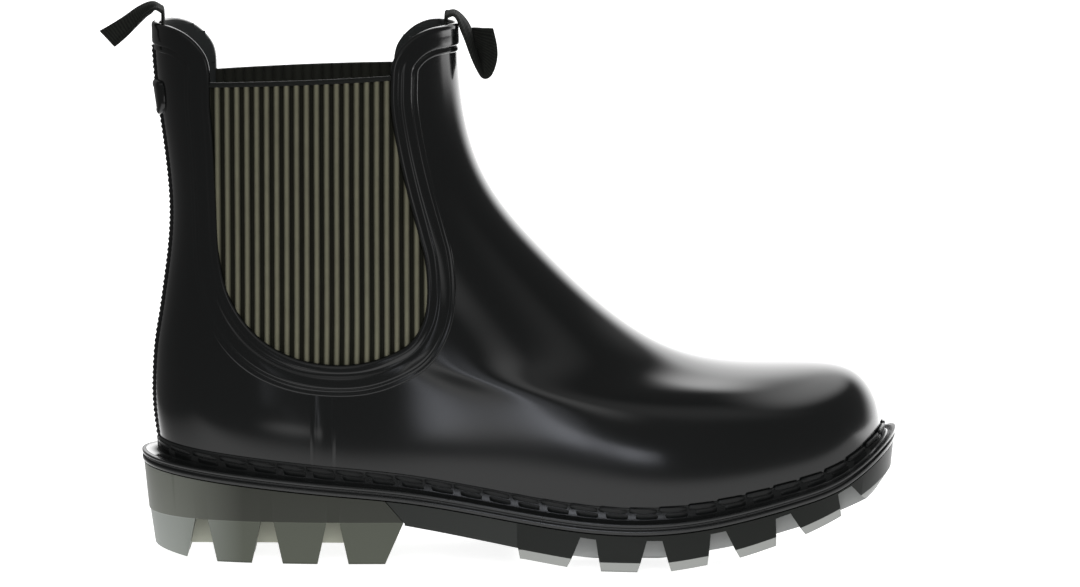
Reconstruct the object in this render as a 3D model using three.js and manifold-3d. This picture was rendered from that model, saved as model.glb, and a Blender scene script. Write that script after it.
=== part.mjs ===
// Chelsea rain boot for a right foot.
// Millimetres, +Z up, toe towards +X, the inner side of the foot towards +Y.
// The origin lies on the floor under the middle of the second heel bar.
import * as THREE from 'three';
import { mergeVertices } from 'three/addons/utils/BufferGeometryUtils.js';
import Module from 'manifold-3d';

const wasm = await Module();
wasm.setup();

// Driving sizes of the last and the shaft
const lastLength = 274.3;
const heelToOrigin = 28.3;
const ballHalfWidth = 45;
const collarHalfWidth = 29.2;
const collarHeight = 202;
const seatHeight = 39;
const toeSwing = 7;
const swingStart = 0.35;
const wall = 2.2;
const clearance = 0.3;

// Raised parts of the upper's wall
const frameWidth = 10.2;
const frameRaise = 0.9;
const seamStripWidth = 8.3;
const seamStripRaise = 0.5;
const seamStripPlace = 34;
const cordHalfWidth = 2.2;
const cordRaise = 1.4;

// Gusset opening and elastic panels
const gussetWidth = 81.3;
const gussetHeight = 105.2;
const gussetBack = -8.4;
const gussetDip = 3;
const gussetRecess = 0.4;
const gussetThickness = 1.7;
const tabLength = 26;
const tabHeight = 21;

// Sole
const weltHeight = 4.5;
const lipRaise = 0.8;
const ribHeight = 1.5;
const beadThickness = 1.8;
const beadLevel = 0.4;
const ribSlope = 0.4;
const lipUnder = 0.2;
const soleSideInset = 0.8;
const lugTaper = 0.8;
const footbedRise = 2;
const heelBreast = 57.4;
const breastBulge = 7;
const breastGap = 0.4;
const lugLine = 16.4;
const heelTaper = 4.6;
const heelLugTaper = 2.3;
const heelChannelPitch = 25.2;
const heelStrikeRise = 2.5;
const heelStrikeLength = 16;
const shankBack = 15.6;
const shankFront = 8.4;
const forefootStart = 107.4;
const forefootLean = 0.16;
const chamfer = 4.3;
const channelStart = 132.2;
const channelPitch = 26.3;
const channelCount = 5;
const channelTop = 2.9;
const channelFlare = 0.27;
const platePlus = 1.8;
const centralRow = 18;
const heelWeb = 8;
const heelWebRecess = 3.5;
const treadHeight = 33;

// Badge pad and pull loops
const badgeHalfWidth = 11;
const badgeHeight = 14.5;
const badgeDrop = 27.6;
const badgeThickness = 1.5;
const badgeCorner = 3;
const loopWidth = 13;
const loopThickness = 2.6;
const loopRoot = 14;
const backLoopReach = 18.5;
const backLoopDrop = 8.5;
const frontLoopReach = 10.6;
const frontLoopDrop = 21;

// Heights that follow from the collar, and a length that is past every face of the boot
const gussetTop = collarHeight - tabHeight;
const gussetFoot = gussetTop - gussetHeight;
const badgeMiddle = collarHeight - badgeDrop;
const beyond = lastLength;

// Fineness of the faceted surfaces
const stations = 48;
const levelSteps = 18;

// Levels of the upper from the sole (first row) to the collar (last row).
// back, front: share of the last length; backRise, frontRise: share of the collar height;
// sag: how far a ring follows the seat's curve; leg: 0 is the foot's plan, 1 the shaft's;
// girth: factor on the half width.
const levels = [
  { back: 0, backRise: 0.1895, front: 1, frontRise: 0.219, sag: 1, leg: 0, girth: 1 },
  { back: -0.0077, backRise: 0.267, front: 0.995, frontRise: 0.272, sag: 0.93, leg: 0, girth: 1.035 },
  { back: -0.0088, backRise: 0.327, front: 0.9727, frontRise: 0.327, sag: 0.8, leg: 0, girth: 1.03 },
  { back: -0.0058, backRise: 0.391, front: 0.918, frontRise: 0.3584, sag: 0.63, leg: 0.1, girth: 1.01 },
  { back: 0.0004, backRise: 0.446, front: 0.8104, frontRise: 0.3639, sag: 0.47, leg: 0.28, girth: 1 },
  { back: 0.0062, backRise: 0.5, front: 0.7083, frontRise: 0.3871, sag: 0.33, leg: 0.5, girth: 1.01 },
  { back: 0.0128, backRise: 0.569, front: 0.6172, frontRise: 0.4614, sag: 0.2, leg: 0.68, girth: 1.02 },
  { back: 0.016, backRise: 0.6485, front: 0.5334, frontRise: 0.5653, sag: 0.1, leg: 0.83, girth: 1.02 },
  { back: 0.0117, backRise: 0.7327, front: 0.4677, frontRise: 0.6663, sag: 0.04, leg: 0.93, girth: 1.01 },
  { back: 0.0036, backRise: 0.8168, front: 0.4295, frontRise: 0.7673, sag: 0.01, leg: 1, girth: 1 },
  { back: -0.0051, backRise: 0.906, front: 0.413, frontRise: 0.8812, sag: 0, leg: 1, girth: 1 },
  { back: -0.0087, backRise: 1, front: 0.4072, frontRise: 1, sag: 0, leg: 1, girth: 1 },
];

// Plan of the foot at the seat: half widths by share of the length, as shares of the ball half width
const footPlan = [
  { along: 0, outer: 1.244, inner: 1.244 },
  { along: 0.1, outer: 0.978, inner: 0.978 },
  { along: 0.235, outer: 0.787, inner: 0.782 },
  { along: 0.33, outer: 0.702, inner: 0.693 },
  { along: 0.47, outer: 0.776, inner: 0.689 },
  { along: 0.65, outer: 1.033, inner: 0.92 },
  { along: 0.756, outer: 1.144, inner: 1.067 },
  { along: 0.88, outer: 1.267, inner: 1.2 },
  { along: 1, outer: 1.444, inner: 1.444 },
];

// Plan of the shaft at the collar, as shares of the collar half width
const legPlan = [
  { along: 0, half: 1.233 },
  { along: 0.25, half: 1.045 },
  { along: 0.5, half: 1 },
  { along: 0.75, half: 1.027 },
  { along: 1, half: 1.13 },
];

// Seat: height of the welt's shelf by share of the last length, as shares of the seat height
const seatRows = [
  { along: -0.03, rise: 1 },
  { along: 0.09, rise: 0.905 },
  { along: 0.23, rise: 0.81 },
  { along: 0.33, rise: 0.744 },
  { along: 0.47, rise: 0.608 },
  { along: 0.56, rise: 0.528 },
  { along: 0.63, rise: 0.497 },
  { along: 0.7, rise: 0.51 },
  { along: 0.78, rise: 0.587 },
  { along: 0.88, rise: 0.741 },
  { along: 0.94, rise: 0.869 },
  { along: 0.98, rise: 1.031 },
  { along: 1.02, rise: 1.231 },
];

// Tread line of the forefoot, as shares of the height that it reaches at the toe
const treadRows = [
  { along: 0.5, rise: 0.108 },
  { along: 0.553, rise: 0.045 },
  { along: 0.6, rise: 0 },
  { along: 0.69, rise: 0 },
  { along: 0.747, rise: 0.07 },
  { along: 0.795, rise: 0.146 },
  { along: 0.842, rise: 0.253 },
  { along: 0.888, rise: 0.375 },
  { along: 0.934, rise: 0.533 },
  { along: 0.97, rise: 0.698 },
  { along: 1.015, rise: 1 },
];

// Width of the welt outside the upper, in millimetres of the real shelf
const shelfRows = [
  { along: 0, width: 7.7 },
  { along: 0.2, width: 7.3 },
  { along: 0.5, width: 6.6 },
  { along: 0.8, width: 6.3 },
  { along: 1, width: 5.2 },
];

// Edge of the gusset opening from the back tab round to the front tab.
// across, up: shares of the gusset's width and height from its back foot corner;
// frame: factor on the frame's width.
const openingRows = [
  { across: 0, up: 0.92, frame: 1 },
  { across: 0.012, up: 0.8, frame: 1 },
  { across: 0.025, up: 0.56, frame: 1 },
  { across: 0.04, up: 0.373, frame: 1.02 },
  { across: 0.085, up: 0.237, frame: 1.1 },
  { across: 0.17, up: 0.135, frame: 1.18 },
  { across: 0.27, up: 0.068, frame: 1.2 },
  { across: 0.4, up: 0.021, frame: 1.16 },
  { across: 0.55, up: 0, frame: 1.12 },
  { across: 0.7, up: 0.005, frame: 1.12 },
  { across: 0.82, up: 0.034, frame: 1.1 },
  { across: 0.918, up: 0.08, frame: 1.06 },
  { across: 0.98, up: 0.158, frame: 1 },
  { across: 1, up: 0.244, frame: 1 },
  { across: 0.99, up: 0.376, frame: 1 },
  { across: 0.962, up: 0.462, frame: 1 },
  { across: 0.905, up: 0.623, frame: 1 },
  { across: 0.861, up: 0.771, frame: 1 },
  { across: 0.831, up: 0.92, frame: 1 },
];

// Rounded corner of a tab: shares of the tab's length and of its height above the gusset
const tabRows = [
  { in: 0, up: 0.1 },
  { in: 0.01, up: 0.28 },
  { in: 0.05, up: 0.46 },
  { in: 0.16, up: 0.66 },
  { in: 0.34, up: 0.85 },
  { in: 0.56, up: 0.965 },
  { in: 0.8, up: 1 },
];

// Free end of each pull loop over the collar's edge: out and down as shares of its reach and drop
const backLoopRows = [
  { out: 0.108, down: -0.424, lean: 6 },
  { out: 0.432, down: -0.165, lean: 18 },
  { out: 0.757, down: 0.47, lean: 28 },
  { out: 1, down: 1, lean: 32 },
];
const frontLoopRows = [
  { out: 0.151, down: -0.114, lean: 0 },
  { out: 0.613, down: 0.167, lean: 12 },
  { out: 0.896, down: 0.571, lean: 20 },
  { out: 1, down: 1, lean: 24 },
];

function mix(a, b, share) {
  return a + (b - a) * share;
}

// Natural cubic spline through one column of a table
function columnSpline(rows, key, column) {
  const at = rows.map((row, i) => (key ? row[key] : i));
  const value = rows.map((row) => row[column]);
  const count = rows.length;
  const bend = new Array(count).fill(0);
  const helper = new Array(count).fill(0);
  for (let i = 1; i < count - 1; i++) {
    const share = (at[i] - at[i - 1]) / (at[i + 1] - at[i - 1]);
    const pivot = share * bend[i - 1] + 2;
    const rise = (value[i + 1] - value[i]) / (at[i + 1] - at[i]);
    const before = (value[i] - value[i - 1]) / (at[i] - at[i - 1]);
    bend[i] = (share - 1) / pivot;
    helper[i] = (6 * (rise - before) / (at[i + 1] - at[i - 1]) - share * helper[i - 1]) / pivot;
  }
  bend[count - 1] = 0;
  for (let i = count - 2; i >= 0; i--) {
    bend[i] = bend[i] * bend[i + 1] + helper[i];
  }
  return (place) => {
    let i = 0;
    while (i < count - 2 && place > at[i + 1]) {
      i++;
    }
    const step = at[i + 1] - at[i];
    const a = (at[i + 1] - place) / step;
    const b = 1 - a;
    const curve = ((a ** 3 - a) * bend[i] + (b ** 3 - b) * bend[i + 1]) * step * step / 6;
    return a * value[i] + b * value[i + 1] + curve;
  };
}

function splines(rows, key) {
  const curves = {};
  for (const column of Object.keys(rows[0])) {
    curves[column] = columnSpline(rows, key, column);
  }
  return curves;
}

const level = splines(levels, null);
const foot = splines(footPlan, 'along');
const leg = splines(legPlan, 'along');
const seatCurve = columnSpline(seatRows, 'along', 'rise');
const treadCurve = columnSpline(treadRows, 'along', 'rise');
const shelfCurve = columnSpline(shelfRows, 'along', 'width');
const topLevel = levels.length - 1;

function alongOf(x) {
  return (x + heelToOrigin) / lastLength;
}

// Turn round the seat line at which a place along the foot is passed
function turnAt(x) {
  return Math.acos(1 - 2 * alongOf(x)) / (2 * Math.PI);
}

function seatZ(x) {
  return seatCurve(alongOf(x)) * seatHeight;
}

function treadZ(x) {
  const along = Math.max(alongOf(x), treadRows[0].along);
  return Math.max(treadCurve(along) * treadHeight, 0);
}

// Sideways swing of the foot's middle line at a share of its length
function swingAt(share) {
  return toeSwing * Math.max((share - swingStart) / (1 - swingStart), 0) ** 3;
}

// A point of the upper's outer face: height is the level, turn goes once round from the back seam
function lastPoint(height, turn) {
  const angle = 2 * Math.PI * turn;
  const along = (1 - Math.cos(angle)) / 2;
  const share = mix(level.back(height), level.front(height), along);
  const x = share * lastLength - heelToOrigin;
  const seatLine = mix(level.backRise(0), level.frontRise(0), along) * collarHeight;
  const sag = seatLine - seatCurve(along) * seatHeight - clearance;
  const chord = mix(level.backRise(height), level.frontRise(height), along) * collarHeight;
  const plan = (Math.sin(angle) > 0 ? foot.inner(along) : foot.outer(along)) * ballHalfWidth;
  const half = mix(plan, leg.half(along) * collarHalfWidth, level.leg(height)) * level.girth(height);
  const y = swingAt(share) + Math.sin(angle) * half;
  return new THREE.Vector3(x, y, chord - sag * level.sag(height));
}

// The same point moved out of the wall by a distance
function skinPoint(height, turn, offset) {
  const step = 0.004;
  const above = lastPoint(Math.min(height + step, topLevel), turn);
  const below = lastPoint(Math.max(height - step, 0), turn);
  const ahead = lastPoint(height, turn + step);
  const behind = lastPoint(height, turn - step);
  const normal = above.sub(below).cross(ahead.sub(behind)).normalize();
  return lastPoint(height, turn).addScaledVector(normal, offset);
}

// A point outside the seat line, level with it, moved straight out in plan
function soleEdge(turn, offset) {
  const step = 0.002;
  const ahead = lastPoint(0, turn + step);
  const behind = lastPoint(0, turn - step);
  const normal = new THREE.Vector3(ahead.y - behind.y, behind.x - ahead.x, 0).normalize();
  return lastPoint(0, turn).addScaledVector(normal, -offset);
}

function lipEdge(turn, inset) {
  const along = (1 - Math.cos(2 * Math.PI * turn)) / 2;
  return soleEdge(turn, shelfCurve(along) - inset);
}

// Closed body through rings of equally many points, with ruled caps
function loft(rings) {
  const count = rings[0].length;
  const index = [];
  for (let r = 0; r < rings.length - 1; r++) {
    for (let i = 0; i < count; i++) {
      const next = (i + 1) % count;
      const a = r * count + i;
      const b = r * count + next;
      index.push(a, b, b + count, a, b + count, a + count);
    }
  }
  const last = (rings.length - 1) * count;
  for (let i = 0; i < count / 2; i++) {
    const j = (count - i) % count;
    const k = count - i - 1;
    if (i > 0) {
      index.push(i, j, i + 1, last + i, last + i + 1, last + j);
    }
    if (k > i + 1) {
      index.push(i + 1, j, k, last + i + 1, last + k, last + j);
    }
  }
  return bodyOf(rings.flat(), index);
}

// Closed ring body: every station holds one closed profile
function ringBody(profiles) {
  const count = profiles[0].length;
  const index = [];
  for (let s = 0; s < profiles.length; s++) {
    const after = (s + 1) % profiles.length;
    for (let i = 0; i < count; i++) {
      const next = (i + 1) % count;
      const a = s * count + i;
      const b = after * count + i;
      const c = after * count + next;
      const d = s * count + next;
      index.push(a, b, c, a, c, d);
    }
  }
  return bodyOf(profiles.flat(), index);
}

function bodyOf(points, index) {
  const geometry = new THREE.BufferGeometry();
  const numbers = points.flatMap((p) => [p.x, p.y, p.z]);
  geometry.setAttribute('position', new THREE.Float32BufferAttribute(numbers, 3));
  geometry.setIndex(index);
  return solid(geometry);
}

function solid(geometry) {
  geometry.deleteAttribute('normal');
  geometry.deleteAttribute('uv');
  const merged = mergeVertices(geometry, 1e-4);
  const triVerts = new Uint32Array(merged.index.array);
  const body = { numProp: 3, vertProperties: new Float32Array(merged.attributes.position.array), triVerts };
  if (signedVolume(body) < 0) {
    for (let i = 0; i < triVerts.length; i += 3) {
      [triVerts[i], triVerts[i + 1]] = [triVerts[i + 1], triVerts[i]];
    }
  }
  return new wasm.Manifold(new wasm.Mesh(body));
}

function signedVolume({ vertProperties, triVerts }) {
  const corner = (i) => new THREE.Vector3().fromArray(vertProperties, triVerts[i] * 3);
  let volume = 0;
  for (let i = 0; i < triVerts.length; i += 3) {
    volume += corner(i).dot(corner(i + 1).cross(corner(i + 2)));
  }
  return volume / 6;
}

// Prism of a side view outline (x, z), between two values of y
function sidePrism(outline, from, to) {
  const shape = new THREE.Shape(outline.map(([x, z]) => new THREE.Vector2(x, z)));
  const geometry = new THREE.ExtrudeGeometry(shape, { depth: to - from, bevelEnabled: false });
  geometry.rotateX(Math.PI / 2);
  geometry.translate(0, to, 0);
  return solid(geometry);
}

// Prism of a back view outline (y, z), between two values of x
function backPrism(outline, from, to) {
  const shape = new THREE.Shape(outline.map(([y, z]) => new THREE.Vector2(y, z)));
  const geometry = new THREE.ExtrudeGeometry(shape, { depth: to - from, bevelEnabled: false });
  geometry.rotateX(Math.PI / 2);
  geometry.rotateZ(Math.PI / 2);
  geometry.translate(from, 0, 0);
  return solid(geometry);
}

function rectangle(left, right, low, high) {
  return [[left, low], [right, low], [right, high], [left, high]];
}

// Full body inside the upper's surface moved out by an offset, run past both ends where asked
function lastBody(offset, past) {
  const heights = [0];
  for (let i = 0; i <= levelSteps; i++) {
    heights.push(mix(beadLevel, topLevel, i / levelSteps));
  }
  const rings = heights.map((height) => (
    Array.from({ length: stations }, (_, k) => skinPoint(height, k / stations, offset))));
  if (past > 0) {
    const down = new THREE.Vector3(0, 0, -past);
    rings.unshift(rings[0].map((p) => p.clone().add(down)));
    rings.push(rings.at(-1).map((p) => p.clone().sub(down)));
  }
  return loft(rings);
}

// Outline of the collar cut in side view, grown outwards by a distance, closed above the collar.
// Where framed is true the distance takes the frame's factor too.
function collarCut(grow, framed) {
  const across = (share) => gussetBack + share * gussetWidth;
  const rows = openingRows.map((row) => (
    new THREE.Vector3(across(row.across), gussetFoot + row.up * gussetHeight, row.frame)));
  const front = across(openingRows.at(-1).across);
  const tabPoint = (row, edge, way) => (
    new THREE.Vector3(edge + way * row.in * tabLength, gussetTop + row.up * tabHeight, 1));
  const backTab = tabRows.map((row) => tabPoint(row, gussetBack, -1)).reverse();
  const frontTab = tabRows.map((row) => tabPoint(row, front, 1));
  const knots = [...backTab, ...rows, ...frontTab];
  const line = new THREE.CatmullRomCurve3(knots, false, 'centripetal').getPoints(knots.length * 2);
  const grown = line.map((point, i) => {
    const ahead = line[Math.min(i + 1, line.length - 1)];
    const behind = line[Math.max(i - 1, 0)];
    const normal = new THREE.Vector2(ahead.y - behind.y, behind.x - ahead.x).normalize();
    const reach = framed ? grow * point.z : grow;
    return [point.x + normal.x * reach, point.y + normal.y * reach];
  });
  const first = grown[0];
  const end = grown.at(-1);
  return [[first[0] - beyond, first[1]], ...grown, [end[0] + beyond, end[1]],
    [end[0] + beyond, collarHeight + beyond], [first[0] - beyond, collarHeight + beyond]];
}

function upperBody() {
  const skin = lastBody(0, 0);
  const frame = lastBody(frameRaise, 0).intersect(sidePrism(collarCut(frameWidth, true), -beyond, beyond));
  const half = seamStripWidth / 2;
  const stripFoot = lastPoint(beadLevel, turnAt(seamStripPlace - half)).z + 2 * clearance;
  const stripTop = gussetFoot - frameWidth / 2;
  const strip = rectangle(seamStripPlace - half, seamStripPlace + half, stripFoot, stripTop);
  const strips = lastBody(seamStripRaise, 0).intersect(sidePrism(strip, -beyond, beyond));
  const cordFoot = lastPoint(beadLevel, 0).z + 2 * clearance;
  const badgeLow = badgeMiddle - badgeHeight / 2 - clearance;
  const badgeTop = badgeMiddle + badgeHeight / 2 + clearance;
  const cordLine = lastBody(cordRaise, 0);
  const cordPart = (low, high) => (
    cordLine.intersect(backPrism(rectangle(-cordHalfWidth, cordHalfWidth, low, high), -beyond, 0)));
  const cut = sidePrism(collarCut(0, false), -beyond, beyond);
  return skin.add(frame).add(strips)
    .add(cordPart(cordFoot, badgeLow)).add(cordPart(badgeTop, collarHeight - frameWidth))
    .subtract(lastBody(-wall, 6)).subtract(cut);
}

// Elastic panel in one side opening; side is -1 on the outer side of the foot, 1 on the inner side
function gussetBody(side) {
  const panel = lastBody(-gussetRecess, 0).subtract(lastBody(-gussetRecess - gussetThickness, 6));
  const middle = clearance * 10;
  const from = side < 0 ? -beyond : middle;
  const to = from + beyond - middle;
  const opening = sidePrism(collarCut(-clearance, false), from, to);
  const front = gussetBack + gussetWidth * openingRows.at(-1).across;
  const back = gussetBack - wall;
  const end = gussetBack + gussetWidth + wall;
  const below = [[back, gussetFoot - wall], [end, gussetFoot - wall], [end, gussetTop + gussetDip],
    [front, gussetTop + gussetDip], [back, gussetTop]];
  return panel.intersect(opening).intersect(sidePrism(below, from, to));
}

// Welt ring: seat, storm bead, shelf and a lip of two ribs
function weltBody() {
  const profiles = [];
  for (let i = 0; i < stations; i++) {
    const turn = i / stations;
    const at = (inset, drop) => {
      const point = lipEdge(turn, inset);
      point.z = seatZ(point.x) - drop;
      return point;
    };
    const near = (offset, drop) => {
      const point = soleEdge(turn, offset);
      point.z = seatZ(point.x) - drop;
      return point;
    };
    const beadFoot = near(clearance, 0);
    const beadTop = skinPoint(beadLevel, turn, clearance);
    const out = near(clearance + beadThickness, 0).sub(beadFoot);
    profiles.push([
      near(-wall, weltHeight),
      near(-wall, 0),
      beadFoot,
      beadTop,
      beadTop.clone().add(out),
      near(clearance + beadThickness + ribHeight, 0),
      at(0, 0),
      at(0, ribHeight),
      at(lipRaise, ribHeight + ribSlope),
      at(lipRaise, weltHeight - ribHeight - ribSlope),
      at(lipUnder, weltHeight - ribHeight),
      at(lipUnder, weltHeight),
    ]);
  }
  return ringBody(profiles);
}

// Full-length sole body between the welt and a lower ring of the given insets
function soleBody(rows) {
  const rings = rows.map(({ inset, z }) => Array.from({ length: stations }, (_, i) => {
    const point = lipEdge(i / stations, inset);
    point.z = z(point.x);
    return point;
  }));
  return loft(rings);
}

function plateTop(x) {
  return seatZ(x) - weltHeight - clearance;
}

// Channel between two lugs: flares from its ceiling down past the floor, square to the tread line
function channel(x, ceiling, floor, slope, from, to) {
  const below = 6;
  const topHalf = channelTop;
  const lowHalf = channelTop + channelFlare * (ceiling - floor + below);
  const turnPoint = ([across, up]) => [
    x + across * Math.cos(slope) - up * Math.sin(slope),
    floor + across * Math.sin(slope) + up * Math.cos(slope),
  ];
  const rise = ceiling - floor;
  const outline = [[-lowHalf, -below], [lowHalf, -below], [topHalf, rise], [-topHalf, rise]];
  return sidePrism(outline.map(turnPoint), from, to);
}

function outsoleBody() {
  const below = chamfer;
  const shape = [
    [heelBreast + breastGap, beyond],
    [heelBreast + breastGap, plateTop(heelBreast)],
    [heelBreast + breastBulge + breastGap, lugLine],
    [heelBreast + breastBulge + breastGap, shankBack],
    [forefootStart, shankFront],
    [forefootStart + forefootLean * (shankFront + below), -below],
    [2 * beyond, -below],
    [2 * beyond, beyond],
  ];
  const block = soleBody([
    { inset: soleSideInset + chamfer + lugTaper, z: treadZ },
    { inset: soleSideInset + lugTaper, z: (x) => treadZ(x) + chamfer },
    { inset: soleSideInset, z: plateTop },
  ]);
  let body = block.intersect(sidePrism(shape, -beyond, beyond));
  const span = channelTop;
  let x = channelStart;
  for (let i = 0; i < channelCount; i++) {
    const slope = Math.atan((treadZ(x + span) - treadZ(x - span)) / (2 * span));
    const ceiling = plateTop(x) - platePlus;
    const middle = swingAt(alongOf(x));
    body = body.subtract(channel(x, ceiling, treadZ(x), slope, -beyond, middle - centralRow));
    body = body.subtract(channel(x, ceiling, treadZ(x), slope, middle + centralRow, beyond));
    x += channelPitch * Math.cos(Math.atan((treadZ(x + channelPitch) - treadZ(x)) / channelPitch));
  }
  return body;
}

function heelBody() {
  const strikeStart = heelStrikeLength - heelToOrigin;
  const shape = [
    [-beyond, (strikeStart + beyond) * heelStrikeRise / heelStrikeLength],
    [strikeStart, 0],
    [strikeStart, -heelStrikeRise],
    [heelBreast, -heelStrikeRise],
    [heelBreast, 0],
    [heelBreast + breastBulge, lugLine],
    [heelBreast, plateTop(heelBreast)],
    [heelBreast, beyond],
    [-beyond, beyond],
  ];
  const block = soleBody([
    { inset: soleSideInset + heelTaper, z: () => 0 },
    { inset: soleSideInset + heelLugTaper, z: () => lugLine },
    { inset: soleSideInset, z: plateTop },
  ]);
  let body = block.intersect(sidePrism(shape, -beyond, beyond));
  for (const step of [-0.5, 0.5, 1.5]) {
    const x = step * heelChannelPitch;
    body = body.subtract(channel(x, lugLine, 0, 0, -beyond, -heelWeb));
    body = body.subtract(channel(x, lugLine, 0, 0, heelWeb, beyond));
    body = body.subtract(channel(x, heelWebRecess, 0, 0, -beyond, beyond));
  }
  return body;
}

function insoleBody() {
  const ring = (drop) => Array.from({ length: stations }, (_, i) => {
    const point = soleEdge(i / stations, -wall - 3 * clearance);
    point.z = seatZ(point.x) - drop;
    return point;
  });
  return loft([ring(weltHeight), ring(-footbedRise)]);
}

function badgeBody() {
  const plate = lastBody(clearance + badgeThickness, 0).subtract(lastBody(clearance, 6));
  const low = badgeMiddle - badgeHeight / 2;
  const high = badgeMiddle + badgeHeight / 2;
  const outline = [];
  for (const [y, z, start] of [[badgeHalfWidth, high, 0], [-badgeHalfWidth, high, 1],
    [-badgeHalfWidth, low, 2], [badgeHalfWidth, low, 3]]) {
    for (let i = 0; i <= 4; i++) {
      const angle = (start + i / 4) * Math.PI / 2;
      outline.push([y - Math.sign(y) * badgeCorner + badgeCorner * Math.cos(angle),
        z - Math.sign(z - badgeMiddle) * badgeCorner + badgeCorner * Math.sin(angle)]);
    }
  }
  return plate.intersect(backPrism(outline, -beyond, 0));
}

// Strap of a rectangular section along rows of middle points, leaned about its run
function strapBody(rows) {
  const rings = rows.map((row, i) => {
    const before = rows[Math.max(i - 1, 0)];
    const after = rows[Math.min(i + 1, rows.length - 1)];
    const run = new THREE.Vector3(after.x - before.x, 0, after.z - before.z).normalize();
    const flat = new THREE.Vector3(0, 1, 0);
    const up = new THREE.Vector3().crossVectors(flat, run);
    const lean = THREE.MathUtils.degToRad(row.lean);
    const side = flat.clone().multiplyScalar(Math.cos(lean)).addScaledVector(up, Math.sin(lean));
    const thick = new THREE.Vector3().crossVectors(side, run).normalize();
    const middle = new THREE.Vector3(row.x, 0, row.z);
    return [[1, 1], [-1, 1], [-1, -1], [1, -1]].map(([across, deep]) => middle.clone()
      .addScaledVector(side, across * loopWidth / 2)
      .addScaledVector(thick, deep * loopThickness / 2));
  });
  return loft(rings);
}

// Middle line of a pull loop, from inside the collar over its edge and out; way is -1 at the back
function loopLine(edge, way, reach, drop, rows) {
  const collarLength = (levels.at(-1).front - levels.at(-1).back) * lastLength;
  const endRadius = 2 * (legPlan.at(-1).half * collarHalfWidth) ** 2 / collarLength - wall;
  const x = edge * lastLength - heelToOrigin;
  const inside = x - way * (wall + 2 * clearance + loopThickness / 2 + loopWidth ** 2 / 8 / endRadius);
  const over = collarHeight + clearance + loopThickness / 2;
  return [
    { x: inside, z: collarHeight - loopRoot, lean: 0 },
    { x: inside, z: collarHeight - loopThickness, lean: 0 },
    { x: inside + way * loopThickness / 3, z: over + loopThickness * 0.7, lean: 0 },
    ...rows.map((row) => ({ x: x + way * row.out * reach, z: over - row.down * drop, lean: row.lean })),
  ];
}

const rubberBlack = { color: 0x1a1c1b, roughness: 0.28, metalness: 0 };
const soleBlack = { color: 0x242624, roughness: 0.5, metalness: 0 };
const heelOlive = { color: 0x5b5e50, roughness: 0.5, metalness: 0 };
const elasticOlive = { color: 0x77765f, roughness: 0.95, metalness: 0 };
const webbingBlack = { color: 0x2a2e2b, roughness: 0.95, metalness: 0 };
const liningGrey = { color: 0x3a3d3c, roughness: 0.95, metalness: 0 };

const boot = new THREE.Group();

function addPiece(name, body, finish) {
  const mesh = body.getMesh();
  const geometry = new THREE.BufferGeometry();
  geometry.setAttribute('position', new THREE.BufferAttribute(new Float32Array(mesh.vertProperties), 3));
  geometry.setIndex(new THREE.BufferAttribute(new Uint32Array(mesh.triVerts), 1));
  geometry.computeVertexNormals();
  const piece = new THREE.Mesh(geometry, new THREE.MeshStandardMaterial(finish));
  piece.name = name;
  boot.add(piece);
}

addPiece('upper', upperBody(), rubberBlack);
addPiece('gusset_outer', gussetBody(-1), elasticOlive);
addPiece('gusset_inner', gussetBody(1), elasticOlive);
addPiece('welt', weltBody(), rubberBlack);
addPiece('outsole', outsoleBody(), soleBlack);
addPiece('heel', heelBody(), heelOlive);
addPiece('insole', insoleBody(), liningGrey);
const frontLine = loopLine(levels.at(-1).front, 1, frontLoopReach, frontLoopDrop, frontLoopRows);
const backLine = loopLine(levels.at(-1).back, -1, backLoopReach, backLoopDrop, backLoopRows);
addPiece('pull_loop_front', strapBody(frontLine), webbingBlack);
addPiece('pull_loop_back', strapBody(backLine), webbingBlack);
addPiece('back_badge', badgeBody(), rubberBlack);

export default boot;
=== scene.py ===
# Chelsea rain boot, right foot: the looks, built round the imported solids.
# Lengths are in millimetres, as a last maker gives them, and turn to metres where a mesh is shaped.
import bpy
from math import cos, pi, radians, sin
import numpy as np
from mathutils import Matrix, Vector


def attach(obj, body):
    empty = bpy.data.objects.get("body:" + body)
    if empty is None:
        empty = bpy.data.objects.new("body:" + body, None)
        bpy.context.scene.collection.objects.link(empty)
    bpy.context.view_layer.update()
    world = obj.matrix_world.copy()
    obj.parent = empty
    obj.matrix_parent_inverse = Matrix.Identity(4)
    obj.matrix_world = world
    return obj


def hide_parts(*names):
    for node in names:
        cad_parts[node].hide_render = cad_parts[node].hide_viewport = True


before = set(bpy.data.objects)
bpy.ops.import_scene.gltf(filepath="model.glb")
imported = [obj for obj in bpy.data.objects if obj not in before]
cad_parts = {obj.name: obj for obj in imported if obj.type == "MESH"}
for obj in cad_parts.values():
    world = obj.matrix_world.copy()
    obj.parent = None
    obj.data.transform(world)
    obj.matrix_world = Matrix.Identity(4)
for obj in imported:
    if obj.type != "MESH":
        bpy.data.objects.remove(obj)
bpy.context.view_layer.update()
mm = 0.001

# The last: driving sizes, then tables whose columns are named shares of them
last = {
    "length": 274.3,
    "heelToOrigin": 28.3,
    "ballHalfWidth": 45,
    "collarHalfWidth": 29.2,
    "collarHeight": 202,
    "seatHeight": 39,
    "treadHeight": 33,
    "toeSwing": 7,
    "swingStart": 0.35,
    "wall": 2.2,
    "seatGap": 0.3,
}

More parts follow.
